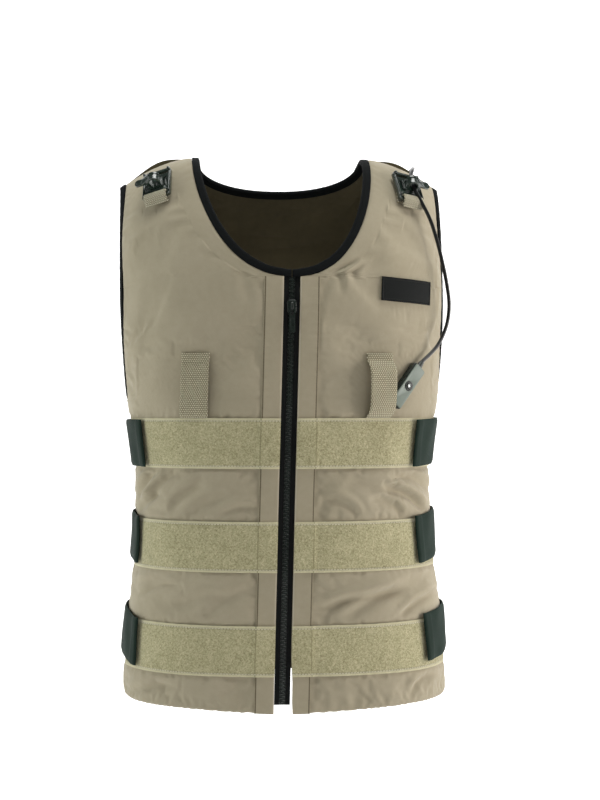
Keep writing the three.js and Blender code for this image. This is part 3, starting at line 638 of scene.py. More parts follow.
def brushed_cloth(name, light, dark):
    """Fine plain weave with a brushed face: faint threads, a soft nap and uneven dye."""
    cloth, place = new_finish(name)
    across, down = weave_place(place)
    pitch = 0.00055
    warp = across.waves(pitch)
    weft = down.waves(pitch)
    nap = grain(place, 0.0011, 3, 0.6)
    slub = grain(place, 0.006, 3, 0.55)
    cloud = grain(place, 0.045, 2)
    tone = 0.5 + 0.9 * (cloud - 0.5) + 0.5 * (slub - 0.5) + 0.35 * (nap - 0.5)
    surface(warp * 0.25 + weft * 0.25 + nap * 1.2 + slub * 0.8, 0.00012, 0.55, {
        "Base Color": mixed(tone, dark, light),
        "Roughness": 0.80 + 0.15 * nap,
        "Sheen Weight": 0.22,
        "Sheen Roughness": 0.45,
        "Specular IOR Level": 0.25,
    })
    return cloth


tan_cloth = brushed_cloth("brushed tan polyester", dye(176, 166, 144), dye(158, 149, 126))
# The lining is the tan cloth painted dark, as shade inside the panels and in the shoulder
# crescent.
shade_lining = brushed_cloth("olive lining darkened as painted shade", dye(92, 84, 60), dye(70, 63, 44))


def lined(panel, rows, columns, rim=0):
    """Outer cloth on the panel, its inner face and so many faces of its top rim in the lining,
    which is painted darker as shade.
    """
    panel.data.materials.append(tan_cloth)
    panel.data.materials.append(shade_lining)
    face_count = (rows - 1) * (columns - 1)
    for index in range(face_count, 2 * face_count + rim):
        panel.data.polygons[index].material_index = 1


for panel, rows, columns in front_panels.values():
    lined(panel, rows, columns)


# Back panel: one piece of the same padded cloth from side seam to side seam. Its shoulder edges
# stand a little above the fronts, and its worn face has slow waves and a few pulled creases.
back_drop = 0.030
crescent = 0.0055


def back_top(x):
    share = np.minimum(1, np.abs(x) / neck_half)
    return np.where(share < 1, -back_drop * np.sqrt(1 - share ** 2.2), seam_height(x))


def back_spot(side, turn, level):
    """Point and normal of the back's outer face in a row of its cloth."""
    x = reach(turn, level)
    z = row_height(x, level, back_top(x))
    point = skin("back", side, turn, z)
    normal = skin_normal("back", side, turn, z)
    past = (x - neck_half) / (shoulder_half - neck_half)
    share = (np.maximum(z, -chest_line) + chest_line) / (seam_height(x) + chest_line)
    inside = (past > 0) & (past < 1)
    point[..., 2] += np.where(inside, crescent * np.sin(math.pi * past) ** 2 * share ** 12, 0)
    return point, normal


back_creases = [
    (0.020, -0.300, 0.130, -0.335, 0.014, 0.0016), (-0.135, -0.330, -0.030, -0.312, 0.014, 0.0016),
    (-0.150, -0.372, -0.070, -0.352, 0.010, 0.0020), (0.070, -0.366, 0.150, -0.384, 0.010, 0.0020),
    (-0.060, -0.395, 0.075, -0.402, 0.016, 0.0014),
    (-0.120, -0.160, -0.060, -0.230, 0.018, 0.0013),
    (0.060, -0.150, 0.122, -0.226, 0.018, 0.0013), (-0.145, -0.452, -0.080, -0.430, 0.010, 0.0018),
    (0.085, -0.436, 0.155, -0.458, 0.010, 0.0018),
]


def back_relief(x, z):
    swell = 0.0008 * np.sin(27 * x + 13 * z) * np.sin(37 * z - 9 * x + 0.4)
    return (swell + creased(x, z, back_creases, 0, 0.25, 0.7)) * soft_step(0, 0.04, -z)


back_levels = np.unique(np.concatenate([chest_levels, lower_levels]))[::-1]
level = back_levels[:, None]
at_shoulder = row_height(np.full_like(level, shoulder_half), level)
back_last = np.where(level > -armhole_depth, armhole_edge(at_shoulder), math.pi / 2)
neck_x = neck_half * (1 - (1 - np.linspace(0, 1, 15)) ** 2)[None, :]
neck_turn = turn_at(neck_x, level)
past_neck = np.linspace(0, 1, 27)[None, 1:]
half_turn = np.concatenate([
    neck_turn, neck_turn[:, -1:] + (back_last - neck_turn[:, -1:]) * past_neck], 1)
point_right, normal_right = back_spot(-1, half_turn, level)
point_left, normal_left = back_spot(1, half_turn, level)
plain = np.concatenate([point_right[:, ::-1], point_left[:, 1:]], 1)
normal = np.concatenate([normal_right[:, ::-1], normal_left[:, 1:]], 1)
run = arc_lengths(plain, 1)
border = np.minimum(run, run[:, -1:] - run)
drop = arc_lengths(plain, 0)
from_hem = drop[-1:] - drop
fade = soft_step(0.0, 0.03, border)
shape = plain + normal * (back_relief(plain[..., 0], plain[..., 2]) * fade)[..., None]
sewn = np.maximum(np.exp(-(border / 0.006) ** 2), np.exp(-(from_hem / 0.005) ** 2))
sewn = np.maximum(sewn, np.exp(-(drop / 0.030) ** 2))
for low, high in ((-0.326, -0.268), (-0.428, -0.366), (-0.530, -0.465)):
    under = (plain[..., 2] > low) & (plain[..., 2] < high) & (border < 0.085)
    sewn = np.maximum(sewn, under)
port = np.hypot(plain[..., 0] - 0.118, plain[..., 2] + 0.070) < 0.022
sewn = np.maximum(sewn, port)
shape = settle(shape, sewn, 1 - 0.9 * sewn, 0.02, -1.0, 0.004)
fine = finer(shape)
fine_run = finer(run)
fine_border = np.minimum(fine_run, fine_run[:, -1:] - fine_run)
fine_drop = finer(drop)
fine_hem = finer(from_hem)
gather = pucker(fine[..., 2], fine_border, 0.007, 0.0090, 0.00040)
gather += pucker(fine[..., 0], fine_hem, 0.006, 0.0105, 0.00035)
gather *= soft_step(0.0005, 0.003, fine_border) * soft_step(0.0, 0.012, fine_drop)
back_panel = quilted("back_panel_cloth", fine, finer(normal), fine_drop < 0.004, gather,
                     np.minimum(fine_border, fine_hem), fine[..., 2] > -armhole_depth,
                     fine_run, fine[..., 2])
# the inner face and the raised shoulder rim take the darkened lining, painted shade in the
# crescent above the fronts
lined(back_panel, *fine_border.shape, rim=fine_border.shape[1] - 1)
dress(back_panel, "back_panel", "tan_cloth")


# Bindings: black knitted tape folded over the raw edges of the neckline and armholes and sewn
# through. It is a soft round roll with fine ribs across it and small gathers on the curves.
binding_lip = 0.0006
binding_gap = 0.0003


def edging(name, points, normals, towards, closed):
    """Folded tape along an edge, on the side of it where the opening is."""
    if closed:
        ahead, behind = np.roll(points, -1, 0), np.roll(points, 1, 0)
    else:
        ahead = np.concatenate([points[1:], points[-1:]])
        behind = np.concatenate([points[:1], points[:-1]])
    along = ahead - behind
    along /= np.linalg.norm(along, axis=1, keepdims=True)
    beyond = np.cross(along, normals)
    beyond /= np.linalg.norm(beyond, axis=1, keepdims=True)
    beyond *= np.where(np.sum(beyond * (towards - points), 1) < 0, -1, 1)[:, None]
    run = arc_lengths(points[:, None], 0)[:, 0]
    middle, half = -wall / 2, wall / 2 + binding_lip
    profile = [(binding_gap, 0.86), (0.0016, 1.0), (0.0050, 0.98)]
    for bend in np.linspace(72, -72, 9):
        turn = math.radians(bend)
        profile.append((0.0058 + 0.0026 * math.cos(turn), math.sin(turn)))
    profile += [(0.0050, -0.98), (0.0016, -1.0), (binding_gap, -0.86)]
    rounds = np.array(profile)
    ripple = 1 + 0.035 * np.sin(run * 2 * math.pi / 0.011 + 3 * np.sin(run * 40))[:, None]
    out = rounds[None, :, 0] * np.ones_like(ripple)
    high = middle + half * rounds[None, :, 1] * ripple
    grid = (points[:, None] + beyond[:, None] * out[..., None]
            + normals[:, None] * high[..., None])
    girth = arc_lengths(grid[:1], 1)[0]
    rows, columns = grid.shape[:2]
    uv = np.stack(np.broadcast_arrays(run[:, None], girth[None, :]), -1)
    faces = grid_faces(rows, columns)
    faces += [(r * columns, (r + 1) * columns, (r + 2) * columns - 1, (r + 1) * columns - 1)
              for r in range(rows - 1)]
    if closed:
        last = (rows - 1) * columns
        faces += [(last + k, last + (k + 1) % columns, (k + 1) % columns, k)
                  for k in range(columns)]
    else:
        faces += [tuple(range(columns)), tuple(range((rows - 1) * columns, rows * columns))]
    return outward(woven(name, grid, faces, uv), 60)


def front_spot(side, turn, level):
    z = row_height(reach(turn, level), level)
    return skin("front", side, turn, z), skin_normal("front", side, turn, z)


neck_levels = front_levels[front_levels >= -neck_drop]
neck_side = {
    side: front_spot(side, turn_at(inner_edge(side, neck_levels), neck_levels), neck_levels)
    for side in (-1, 1)
}
back_x = neck_half * np.sin(np.linspace(-1, 1, 61)[1:-1] * math.pi / 2)
across_back = [
    back_spot(-1 if x < 0 else 1, turn_at(abs(x), np.float64(0)), np.float64(0))
    for x in back_x if abs(x) < neck_half - 0.0012
]
meeting = np.array([(side * (0.0006 + 0.0022 * step), -neck_drop - 0.0004)
                    for side in (-1, 1) for step in ((0, 1, 2) if side < 0 else (2, 1, 0))])
meeting_x = np.float64(0.005) + meeting[:, 0]
meeting_turn = turn_at(meeting_x, meeting[:, 1])
sink = -0.0012 * soft_step(0.0075, 0.0030, np.abs(meeting[:, 0]))
meeting_points = off_skin("front", 1, meeting_turn, meeting[:, 1], sink)
meeting_normals = skin_normal("front", 1, meeting_turn, meeting[:, 1])
neck_points = np.concatenate([
    meeting_points[:3], neck_side[-1][0][::-1], np.array([p for p, n in across_back]),
    neck_side[1][0], meeting_points[3:],
])
neck_normals = np.concatenate([
    meeting_normals[:3], neck_side[-1][1][::-1], np.array([n for p, n in across_back]),
    neck_side[1][1], meeting_normals[3:],
])
bindings = {"neck_binding": edging("neck_binding_tape", neck_points, neck_normals,
                                   np.array([0, -0.020, -0.040]), False)}
for name, side in sides:
    open_front = front_levels[front_levels > -armhole_depth]
    open_back = back_levels[back_levels > -armhole_depth][1:][::-1]
    front_turn = armhole_edge(row_height(np.full_like(open_front, shoulder_half), open_front))
    back_turn = armhole_edge(row_height(np.full_like(open_back, shoulder_half), open_back))
    front_points, front_normals = front_spot(side, front_turn, open_front)
    under_point, under_normal = front_spot(side, np.array([math.pi / 2]),
                                           np.array([-armhole_depth]))
    back_points, back_normals = back_spot(side, back_turn, open_back)
    front_points[0, 1] = 0
    under_point[0, 1] = 0
    bindings[f"armhole_binding_{name}"] = edging(
        f"armhole_binding_{name}_tape",
        np.concatenate([front_points, under_point, back_points]),
        np.concatenate([front_normals, under_normal, back_normals]),
        np.array([side * chest_half, 0, -armhole_depth / 2]), True,
    )

black_knit, place = new_finish("black knitted binding")
along, around = weave_place(place)
rib = (along + around * 0.35).waves(0.0011)
loop = around.waves(0.0009)
lint = grain(place, 0.0016, 4, 0.65)
surface(rib * 0.5 + loop * 0.3 + lint, 0.00025, 0.7, {
    "Base Color": mixed(lint * 0.8 + rib * 0.12, dye(9, 11, 12), dye(26, 29, 30)),
    "Roughness": 0.78 + 0.15 * lint,
    "Specular IOR Level": 0.1,
})
for node, tape in bindings.items():
    dress(tape, node, "black_knit", black_knit)


# Zip facings: strips of the same cloth folded double beside the zip and sewn down their outer
# edge. The fold by the zip is a crisp line painted lighter as a highlight, and the sewn edge
# gathers between stitches.
facing_thickness = 0.001
for name, side in sides:
    z = np.linspace(-neck_drop - 0.0002, -length, 260)[:, None]
    edge = inner_edge(side, z)
    share = np.linspace(0, 1, 15)[None, :]
    x = edge + facing_width * share
    near = facing_width * (1 - share)
    fold = facing_width * share
    ripple = pucker(z, near, 0.005, 0.0085, 0.00032) + pucker(z + 0.3, fold, 0.004, 0.013, 0.00018)
    ripple += 0.00030 * np.sin(z * 95 + 2 * np.sin(z * 31 + side)) * np.sin(math.pi * share)
    roll = rolled(fold, 0.0010, 0.0004) + rolled(near, 0.0008, 0.0003)
    outer = place_on_front(side, x, z, seam_gap + facing_thickness + ripple - roll)
    inner = place_on_front(side, x, z, seam_gap + 0 * x)
    for layer in (outer, inner):
        layer[..., 2] -= hem_sag(x, z + length)
    facing = shell(f"zip_facing_{name}_cloth", outer, inner, x - edge, z, 50)
    if name == "right":
        facing_cloth, place = new_finish("sewn facing cloth")
        across, down = weave_place(place)
        nap = grain(place, 0.0011, 3, 0.6)
        slub = grain(place, 0.006, 3)
        from_seam = abs(across - (facing_width - 0.0013))
        stitch = (from_seam < 0.0005) * ((down % 0.0030) < 0.0021)
        # the seam's groove: dented in the bump and painted dark as shade
        ditch_shade = from_seam < 0.0006
        # painted highlight along the fold by the zip
        fold_highlight = across < 0.0011
        plain_tone = mixed(0.5 + 0.5 * (slub - 0.5) + 0.4 * (nap - 0.5),
                           dye(156, 147, 124), dye(174, 164, 142))
        shaded = mixed(ditch_shade * 0.8, plain_tone, dye(74, 64, 46))
        threaded = mixed(stitch * 0.6, shaded, dye(112, 102, 80))
        surface(nap * 1.2 + slub * 0.8 + stitch * 2.0 - ditch_shade * 2.5, 0.00014, 0.6, {
            "Base Color": mixed(fold_highlight * 0.55, threaded, dye(196, 186, 167)),
            "Roughness": 0.80 + 0.15 * nap,
            "Sheen Weight": 0.22,
            "Sheen Roughness": 0.45,
            "Specular IOR Level": 0.25,
        })
    dress(facing, f"zip_facing_{name}", "tan_cloth", facing_cloth)


# Zip: two woven tapes with a closed row of moulded black teeth between them. Each tooth is a
# small block with a head that locks between its neighbours on the other tape.
def on_front(x, z, height):
    """Points off the plain form of the fronts, at a distance to the left of the middle."""
    side = np.where(x < 0, -1, 1)
    return off_skin("front", side, turn_at(x, z), z, height)


zip_end = 0.005
zip_depth = 0.0024
tape_thickness = 0.001
chain_half = 0.0029
tooth_pitch = 0.0038
tooth_high = 0.0018
for name, side in sides:
    z = np.linspace(-neck_drop - 0.0002, -length + zip_end, 150)[:, None]
    share = np.linspace(0, 1, 7)[None, :]
    out = chain_half + seam_gap + (zip_half - chain_half - 2 * seam_gap) * share
    bow = 0.00015 * np.sin(z * 240 + side) * share
    x = closure_x(z) + side * out
    outer = on_front(x, z, bow - zip_depth)
    inner = on_front(x, z, 0 * x - zip_depth - tape_thickness)
    tape = shell(f"zip_tape_{name}_weave", outer, inner, out, z, 50)
    if name == "right":
        tape_weave, place = new_finish("black zip tape")
        across, down = weave_place(place)
        zigzag = abs(across % 0.0024 - 0.0012)
        bone = (down + zigzag).waves(0.0009)
        lint = grain(place, 0.0018, 3, 0.6)
        surface(bone * 0.6 + lint, 0.0002, 0.6, {
            "Base Color": mixed(bone * 0.15 + lint * 0.7, dye(8, 10, 11), dye(19, 22, 23)),
            "Roughness": 0.75 + 0.15 * lint,
            "Specular IOR Level": 0.3,
        })
    dress(tape, f"zip_tape_{name}", "black_knit", tape_weave)


def begin(name, size, place=(0, 0, 0)):
    """A block at its size and place to be shaped by hand."""
    bpy.ops.object.select_all(action="DESELECT")
    bpy.ops.mesh.primitive_cube_add(size=1)
    piece = bpy.context.object
    piece.name = name
    piece.data.transform(Matrix.Translation(place) @ Matrix.Diagonal((*size, 1)))
    return piece


def choose(piece, test, kind="FACE"):
    """Edit mode with just the faces or edges chosen whose middle and normal pass the test."""
    pick(piece)
    bpy.ops.object.mode_set(mode="EDIT")
    bpy.ops.mesh.select_mode(type=kind)
    bpy.ops.mesh.select_all(action="DESELECT")
    bpy.ops.object.mode_set(mode="OBJECT")
    mesh = piece.data
    if kind == "FACE":
        for face in mesh.polygons:
            face.select = bool(test(face.center, face.normal))
    else:
        for edge in mesh.edges:
            a, b = (mesh.vertices[k].co for k in edge.vertices)
            edge.select = bool(test((a + b) / 2, (b - a).normalized()))
    bpy.ops.object.mode_set(mode="EDIT")


def rounded(piece, width, segments, test=lambda middle, way: abs(way.y) > 0.9):
    """Edges that pass the test rounded, as a rule the corners seen from the front."""
    choose(piece, test, "EDGE")
    bpy.ops.mesh.bevel(offset=width, segments=segments, affect="EDGES")
    bpy.ops.object.mode_set(mode="OBJECT")


def stepped(piece, *steps):
    """Front face set in by pairs of width and depth."""
    choose(piece, lambda middle, normal: normal.y < -0.9)
    for width, depth in steps:
        bpy.ops.mesh.inset(thickness=width, depth=depth)
    bpy.ops.object.mode_set(mode="OBJECT")


def joined(piece, other):
    """The other's mesh added to the piece's."""
    pick(piece)
    other.select_set(True)
    bpy.ops.object.join()


def rod(radius, low, high, place=(0, 0, 0), vertices=64):
    """Round bar up the cloth from one height to another."""
    bpy.ops.object.select_all(action="DESELECT")
    bpy.ops.mesh.primitive_cylinder_add(vertices=vertices, radius=radius, depth=high - low)
    bar = bpy.context.object
    bar.data.transform(Matrix.Translation(Vector(place) + Vector((0, 0, (low + high) / 2))))
    return bar


def bevelled(piece, width, segments=2, angle=40):
    """Every sharp edge rounded by that width."""
    pick(piece)
    soft = piece.modifiers.new("edges", "BEVEL")
    soft.width = width
    soft.segments = segments
    soft.limit_method = "ANGLE"
    soft.angle_limit = math.radians(angle)
    bpy.ops.object.modifier_apply(modifier=soft.name)
    return piece


def carved(piece, tool, operation="DIFFERENCE"):
    """One piece cut by, or joined with, another."""
    pick(piece)
    knife = piece.modifiers.new("cut", "BOOLEAN")
    knife.operation = operation
    knife.object = tool
    knife.solver = "EXACT"
    bpy.ops.object.modifier_apply(modifier=knife.name)
    bpy.data.objects.remove(tool)
    return piece


def seat(side, x, z, height, spin=0):
    """Place on a front whose X lies across, Z up the cloth and -Y straight out of it."""
    turn = turn_at(np.float64(x), np.float64(z))
    z = np.float64(z)
    out = Vector(skin_normal("front", side, turn, z))
    up = (Vector((0, 0, 1)) - out * out.z).normalized()
    up.rotate(Matrix.Rotation(math.radians(spin), 3, out))
    across = (-out).cross(up)
    turned = Matrix((across, -out, up)).transposed().to_4x4()
    return Matrix.Translation(off_skin("front", side, turn, z, np.float64(height))) @ turned


def settled(piece, place, angle=35):
    """The finished piece's mesh in its place on the vest."""
    piece.data.transform(place)
    return outward(piece, angle)


tooth = begin("tooth", (0.0036, 0.0023, 0.0015), (-0.0010, -0.00105, 0))
choose(tooth, lambda middle, normal: normal.x > 0.9)
bpy.ops.mesh.inset(thickness=0.00022, depth=0)
bpy.ops.transform.translate(value=(0.0006, 0, 0))
bevelled(tooth, 0.00022, 1)
tooth_points = np.array([v.co[:] for v in tooth.data.vertices])
tooth_faces = [list(f.vertices) for f in tooth.data.polygons]
bpy.data.objects.remove(tooth)
row_points, row_faces = [], []
down = -neck_drop - 0.0030
side = -1
while down > -length + zip_end + 0.001:
    middle = float(closure_x(np.float64(down)))
    where = seat(-1 if middle < 0 else 1, abs(middle), down, tooth_high - zip_depth - 0.0022)
    base = len(row_points) * len(tooth_points)
    one = tooth_points * np.array([-side, 1, 1])
    turned = np.array(where.to_3x3())
    row_points.append(one @ turned.T + np.array(where.translation))
    order = 1 if side < 0 else -1
    row_faces += [[base + k for k in face][::order] for face in tooth_faces]
    side = -side
    down -= tooth_pitch / 2
teeth = bpy.data.objects.new("zip_chain_teeth", bpy.data.meshes.new("zip_chain_teeth"))
teeth.data.from_pydata(np.concatenate(row_points).tolist(), [], row_faces)
bpy.context.scene.collection.objects.link(teeth)
outward(teeth, 35)

z = np.linspace(-neck_drop - 0.0002, -length + zip_end, 150)[:, None]
x = closure_x(z) + np.linspace(-1, 1, 7)[None, :] * (chain_half + 0.0003)
core = shell("core", on_front(x, z, 0 * x - zip_depth - 0.0004),
             on_front(x, z, 0 * x - zip_depth - 0.0008), x, z, 50)
joined(teeth, core)

moulded_black, place = new_finish("moulded black plastic")
flow = grain(place, 0.0030, 3)
speckle = grain(place, 0.0006, 2)
surface(speckle + flow * 0.6, 0.00008, 0.5, {
    "Base Color": mixed(flow, dye(12, 20, 16), dye(28, 40, 33)),
    "Roughness": 0.20 + 0.18 * flow,
    "Specular IOR Level": 0.5,
})
dress(teeth, "zip_chain", "black_plastic", moulded_black)


# Slider and pull: a black slider parked below the neckline, with a bridge on its back plate and
# a slim pull whose eye hangs in that bridge.
slider_level = -0.164
slider_place = seat(1, float(closure_x(np.float64(slider_level))), slider_level,
                    -zip_depth + tooth_high + seam_gap)
slider = begin("zip_slider_body", (0.009, 0.002, 0.013), (0, -0.001, 0))
rounded(slider, 0.0022, 4)
choose(slider, lambda middle, normal: normal.y < -0.9)
bpy.ops.mesh.inset(thickness=0.0007, depth=0)
bpy.ops.transform.translate(value=(0, -0.0003, 0))
bpy.ops.object.mode_set(mode="OBJECT")
bevelled(slider, 0.0003, 2)
bridge = begin("bridge", (0.0020, 0.0044, 0.0080), (0, -0.0037, 0))
rounded(bridge, 0.0016, 3, lambda middle, way: abs(way.x) > 0.9 and middle.y < -0.004)
eye = begin("eye", (0.0040, 0.0027, 0.0056), (0, -0.00335, 0))
carved(bridge, eye)
bevelled(bridge, 0.0002, 1)
joined(slider, bridge)
settled(slider, slider_place)
dress(slider, "zip_slider", "black_plastic", moulded_black)

pull_place = slider_place @ Matrix.Translation((0, -0.00335, -0.0012))
pull = begin("zip_pull_tab", (0.0060, 0.0015, 0.0255), (0, 0, -0.012))
rounded(pull, 0.0016, 4)
carved(pull, begin("eye", (0.0030, 0.0030, 0.0070), (0, 0, -0.00425)))
grip = begin("grip", (0.0036, 0.0006, 0.0120), (0, -0.0008, -0.0165))
carved(pull, grip)
bevelled(pull, 0.0003, 2)
settled(pull, pull_place)
dress(pull, "zip_pull", "black_plastic", moulded_black, body="pull")


# Loop bands: 50 mm loop tape sewn flat across each front from the zip to the side. The middle
# is a fuzzy pile, and each edge is a plain woven selvedge with a row of lockstitches.
band_thickness, band_pile = 0.0016, 0.00045


def tape_finish(name, width, dark, light, selvedge, thread):
    tape, place = new_finish(name)
    along, across = weave_place(place)
    edge = across.least(width - across)
    pile = grain(place, 0.0009, 3, 0.7)
    tuft = grain(place, 0.0020, 3, 0.7)
    patch = grain(place, 0.012, 2)
    plain = edge < 0.0021 + 0.0006 * tuft
    line = abs(edge - 0.0027)
    stitch = (line < 0.00042) * ((along % 0.0031) < 0.0022)
    ditch_shade = line < 0.0008
    rib = along.waves(0.0010)
    fuzz = 0.47 + 1.3 * (pile - 0.5) + 1.3 * (tuft - 0.5) + 0.3 * (patch - 0.5)
    body = mixed(fuzz, dark, light)
    woven_edge = mixed(0.5 + rib * 0.3, selvedge, light)
    colour = mixed(plain * 0.75, body, woven_edge)
    # painted shade along the groove of the stitch line
    colour = mixed(ditch_shade * 0.3, colour, dark)
    # painted shadow line where the band steps down off the facing's edge
    seam_step_shadow = abs(along - facing_width) < 0.0007
    colour = mixed(seam_step_shadow * (0.3 + 0.3 * tuft), colour, dark)
    colour = mixed(stitch * 0.8, colour, thread)
    height = (1 - plain) * (pile * 2.2 + tuft * 2.4) + plain * (rib * 0.4 + 0.4) - ditch_shade * 0.8
    surface(height + stitch * 0.8, 0.00035, 0.9, {
        "Base Color": colour,
        "Roughness": 0.88 + 0.1 * pile,
        "Sheen Weight": 0.35,
        "Sheen Roughness": 0.4,
        "Specular IOR Level": 0.2,
    })
    return tape


loop_tape = tape_finish("olive tan loop tape", band_height, dye(122, 116, 80),
                        dye(222, 215, 176), dye(214, 208, 180), dye(226, 220, 196))
for name, side in sides:
    for number, top in enumerate(band_tops):
        rows = np.linspace(0, 1, 33)[:, None]
        z = top - band_height * rows
        first = turn_at(inner_edge(side, z), z)
        end = math.pi / 2
        beyond = turn_at(inner_edge(side, z) + facing_width + 0.003, z)
        stop = beyond + (end - beyond) * (6 / 7)
        share = np.linspace(0, 1, 121)[None, :]
        turn = first + (stop - first) * share
        x = reach(turn, z)
        over = facing_thickness + seam_gap
        past = x - inner_edge(side, z)
        lift = over * soft_step(facing_width + 0.0030, facing_width - 0.0002, past)
        away = np.minimum(rows, 1 - rows) * band_height
        wave = 0.00022 * np.sin(x * 2 * math.pi / 0.011 + number + side) * np.exp(-away / 0.006)
        wave = wave + 0.00025 * np.sin(x * 88 + 40 * z)
        pile = soft_step(0.0022, 0.0036, away) * band_pile
        roll = rolled(past, 0.0012, 0.0005)
        height = seam_gap + lift + wave
        outer = place_on_front(side, x, z, height + band_thickness - band_pile + pile - roll)
        inner = place_on_front(side, x, z, height + roll * 0.2)
        band = shell(f"loop_band_{name}_{number + 1}_tape", outer, inner,
                     arc_lengths(outer, 1), band_height * rows)
        dress(band, f"loop_band_{name}_{number + 1}", "loop_tape", loop_tape)


# Side straps: smooth black elastic with a hook-faced end. Each is sewn to the back, comes round
# the side and lies over the end of its band, where its stiff end stands a little proud.
strap_thickness = 0.0028
strap_height = 0.048
strap_back_turn = 128
strap_rows = [
    (-1, 1, 0.815, 0.00, 0.00), (-1, 2, 0.850, 0.06, 0.13), (-1, 3, 0.870, 0.06, 0.22),
    (1, 1, 0.730, 0.00, 0.04), (1, 2, 0.742, 0.08, 0.19), (1, 3, 0.790, 0.15, 0.25),
]
elastic, place = new_finish("black elastic")
along, across = weave_place(place)
rib = across.waves(0.0012)
weft = along.waves(0.0008)
lint = grain(place, 0.0020, 3, 0.6)
cloud = grain(place, 0.020, 2)
surface(rib * 0.35 + weft * 0.25 + lint * 0.5, 0.00012, 0.45, {
    "Base Color": mixed(lint * 0.5 + cloud * 0.5, dye(20, 34, 28), dye(33, 50, 42)),
    "Roughness": 0.62 + 0.2 * lint,
    "Specular IOR Level": 0.14,
})
for side, number, strap_reach, rise, lift in strap_rows:
    name = "right" if side < 0 else "left"
    top = band_tops[number - 1]
    z_middle = np.float64(top - band_height / 2)
    end = turn_at(np.float64(strap_reach * chest_half), z_middle)
    side_turn, settle_turn = math.radians(88), math.radians(104)
    turn = np.linspace(end, math.radians(strap_back_turn), 90)[None, :]
    rows = np.linspace(0, 1, 15)[:, None]
    share = soft_step(end, side_turn, turn)
    upper = (top - (band_height - strap_height) / 2
             + strap_height * (rise + (lift - rise) * share))
    z = upper - rows * strap_height
    turn = np.broadcast_to(turn, z.shape)
    resting = soft_step(side_turn, settle_turn, turn)
    low = (band_thickness + 3 * seam_gap) * (1 - resting) + 2 * seam_gap * resting
    from_end = (turn - end) * 0.12
    low = low + 0.0017 * soft_step(0.020, 0.0, from_end)
    low = low + 0.0003 * np.sin(turn * 21 + rows * 5 + number)
    face = turn <= math.pi / 2
    inner_turn = np.where(face, turn, math.pi - turn)
    x = reach(inner_turn, z)
    worn = relief(side, x, z) * soft_step(math.pi / 2, math.radians(80), turn)
    edge = np.minimum(rows, 1 - rows) * strap_height
    round_edge = rolled(edge + 0 * z, 0.0012, 0.0010)
    round_end = rolled(from_end, 0.0014, 0.0011)
    hem = 0.0006 * soft_step(0.0115, 0.0105, from_end) * soft_step(0.0, 0.002, from_end)
    high = low + strap_thickness - np.maximum(round_edge, round_end) + hem
    under = low + np.maximum(round_edge, round_end)
    outer = np.where(face[..., None], off_skin("front", side, inner_turn, z, worn + high),
                     off_skin("back", side, inner_turn, z, high))
    inner = np.where(face[..., None], off_skin("front", side, inner_turn, z, worn + under),
                     off_skin("back", side, inner_turn, z, under))
    strap = shell(f"side_strap_{name}_{number}_elastic", outer, inner,
                  arc_lengths(outer, 1), rows * strap_height)
    dress(strap, f"side_strap_{name}_{number}", "black_strap", elastic)


# Chest loops: 27 mm webbing of coarse tan yarn. The foot is sewn in under the top band, the head
# is folded double and tacked, and between them the loop stands off the cloth.
webbing_thickness = 0.0016
loop_height = 0.064


def webbing_finish(name, dark, light):
    webbing, place = new_finish(name)
    across, along = weave_place(place)
    pitch_across, pitch_along = 0.00215, 0.00190
    shift = ((along / (2 * pitch_along)).fraction() > 0.5) * 0.5
    cell = across / pitch_across + shift
    u = cell.fraction() - 0.5
    v = (along / pitch_along).fraction() - 0.5
    knot = 1 - (u * u * 3.4 + v * v * 3.0)
    yarn = (along + across * 0.0602).waves(0.00042)
    lint = grain(place, 0.0009, 3, 0.65)
    # each knot is painted lighter at its crown and darker between knots as painted shade of the
    # weave, with random lint tone on top
    shade = knot * 0.9 - 0.25 + 0.3 * (lint - 0.5)
    surface(knot * 1.6 + yarn * 0.12 + lint * 0.5, 0.0004, 0.9, {
        "Base Color": mixed(shade, dark, light),
        "Roughness": 0.82 + 0.12 * lint,
        "Sheen Weight": 0.2,
        "Sheen Roughness": 0.5,
        "Specular IOR Level": 0.25,
    })
    return webbing


tan_webbing = webbing_finish("coarse tan webbing", dye(134, 126, 99), dye(242, 234, 206))
for name, side, spacing, near_bow, far_bow, loop_width in (
    ("right", -1, 0.541, 0.126, 0.126, 0.027), ("left", 1, 0.519, 0.519, 0.440, 0.0255),
):
    rows = np.linspace(1, 0, 71)[:, None]
    share = np.linspace(0, 1, 25)[None, :]
    z = band_tops[0] + seam_gap + loop_height * rows
    out = chest_half * spacing + loop_width * (share - 0.5)
    x = side * out + closure_x(z)
    arch = np.maximum(0, 1 - np.abs(rows / 0.45 - 1) ** 4.6)
    bow = loop_width * (near_bow + (far_bow - near_bow) * share) * arch
    bow = bow + 0.0006 * np.sin(rows * 7 + side) * arch * np.sin(math.pi * share)
    doubled = 1 + soft_step(0.87, 0.90, rows)
    edge = np.minimum(share, 1 - share) * loop_width
    roll = rolled(edge, 0.0010, 0.0006) + 0 * z
    ends = rolled(np.minimum(rows, 1 - rows) * loop_height, 0.0010, 0.0006)
    thick = webbing_thickness * doubled - np.maximum(roll, ends)
    flat = relief(side, np.abs(x), z)
    outer = on_front(x, z, flat + seam_gap + bow + thick)
    inner = on_front(x, z, flat + seam_gap + bow + np.maximum(roll, ends) * 0.3)
    loop = shell(f"chest_loop_{name}_webbing", outer, inner,
                 loop_width * share, loop_height * rows)
    dress(loop, f"chest_loop_{name}", "tan_webbing", tan_webbing)


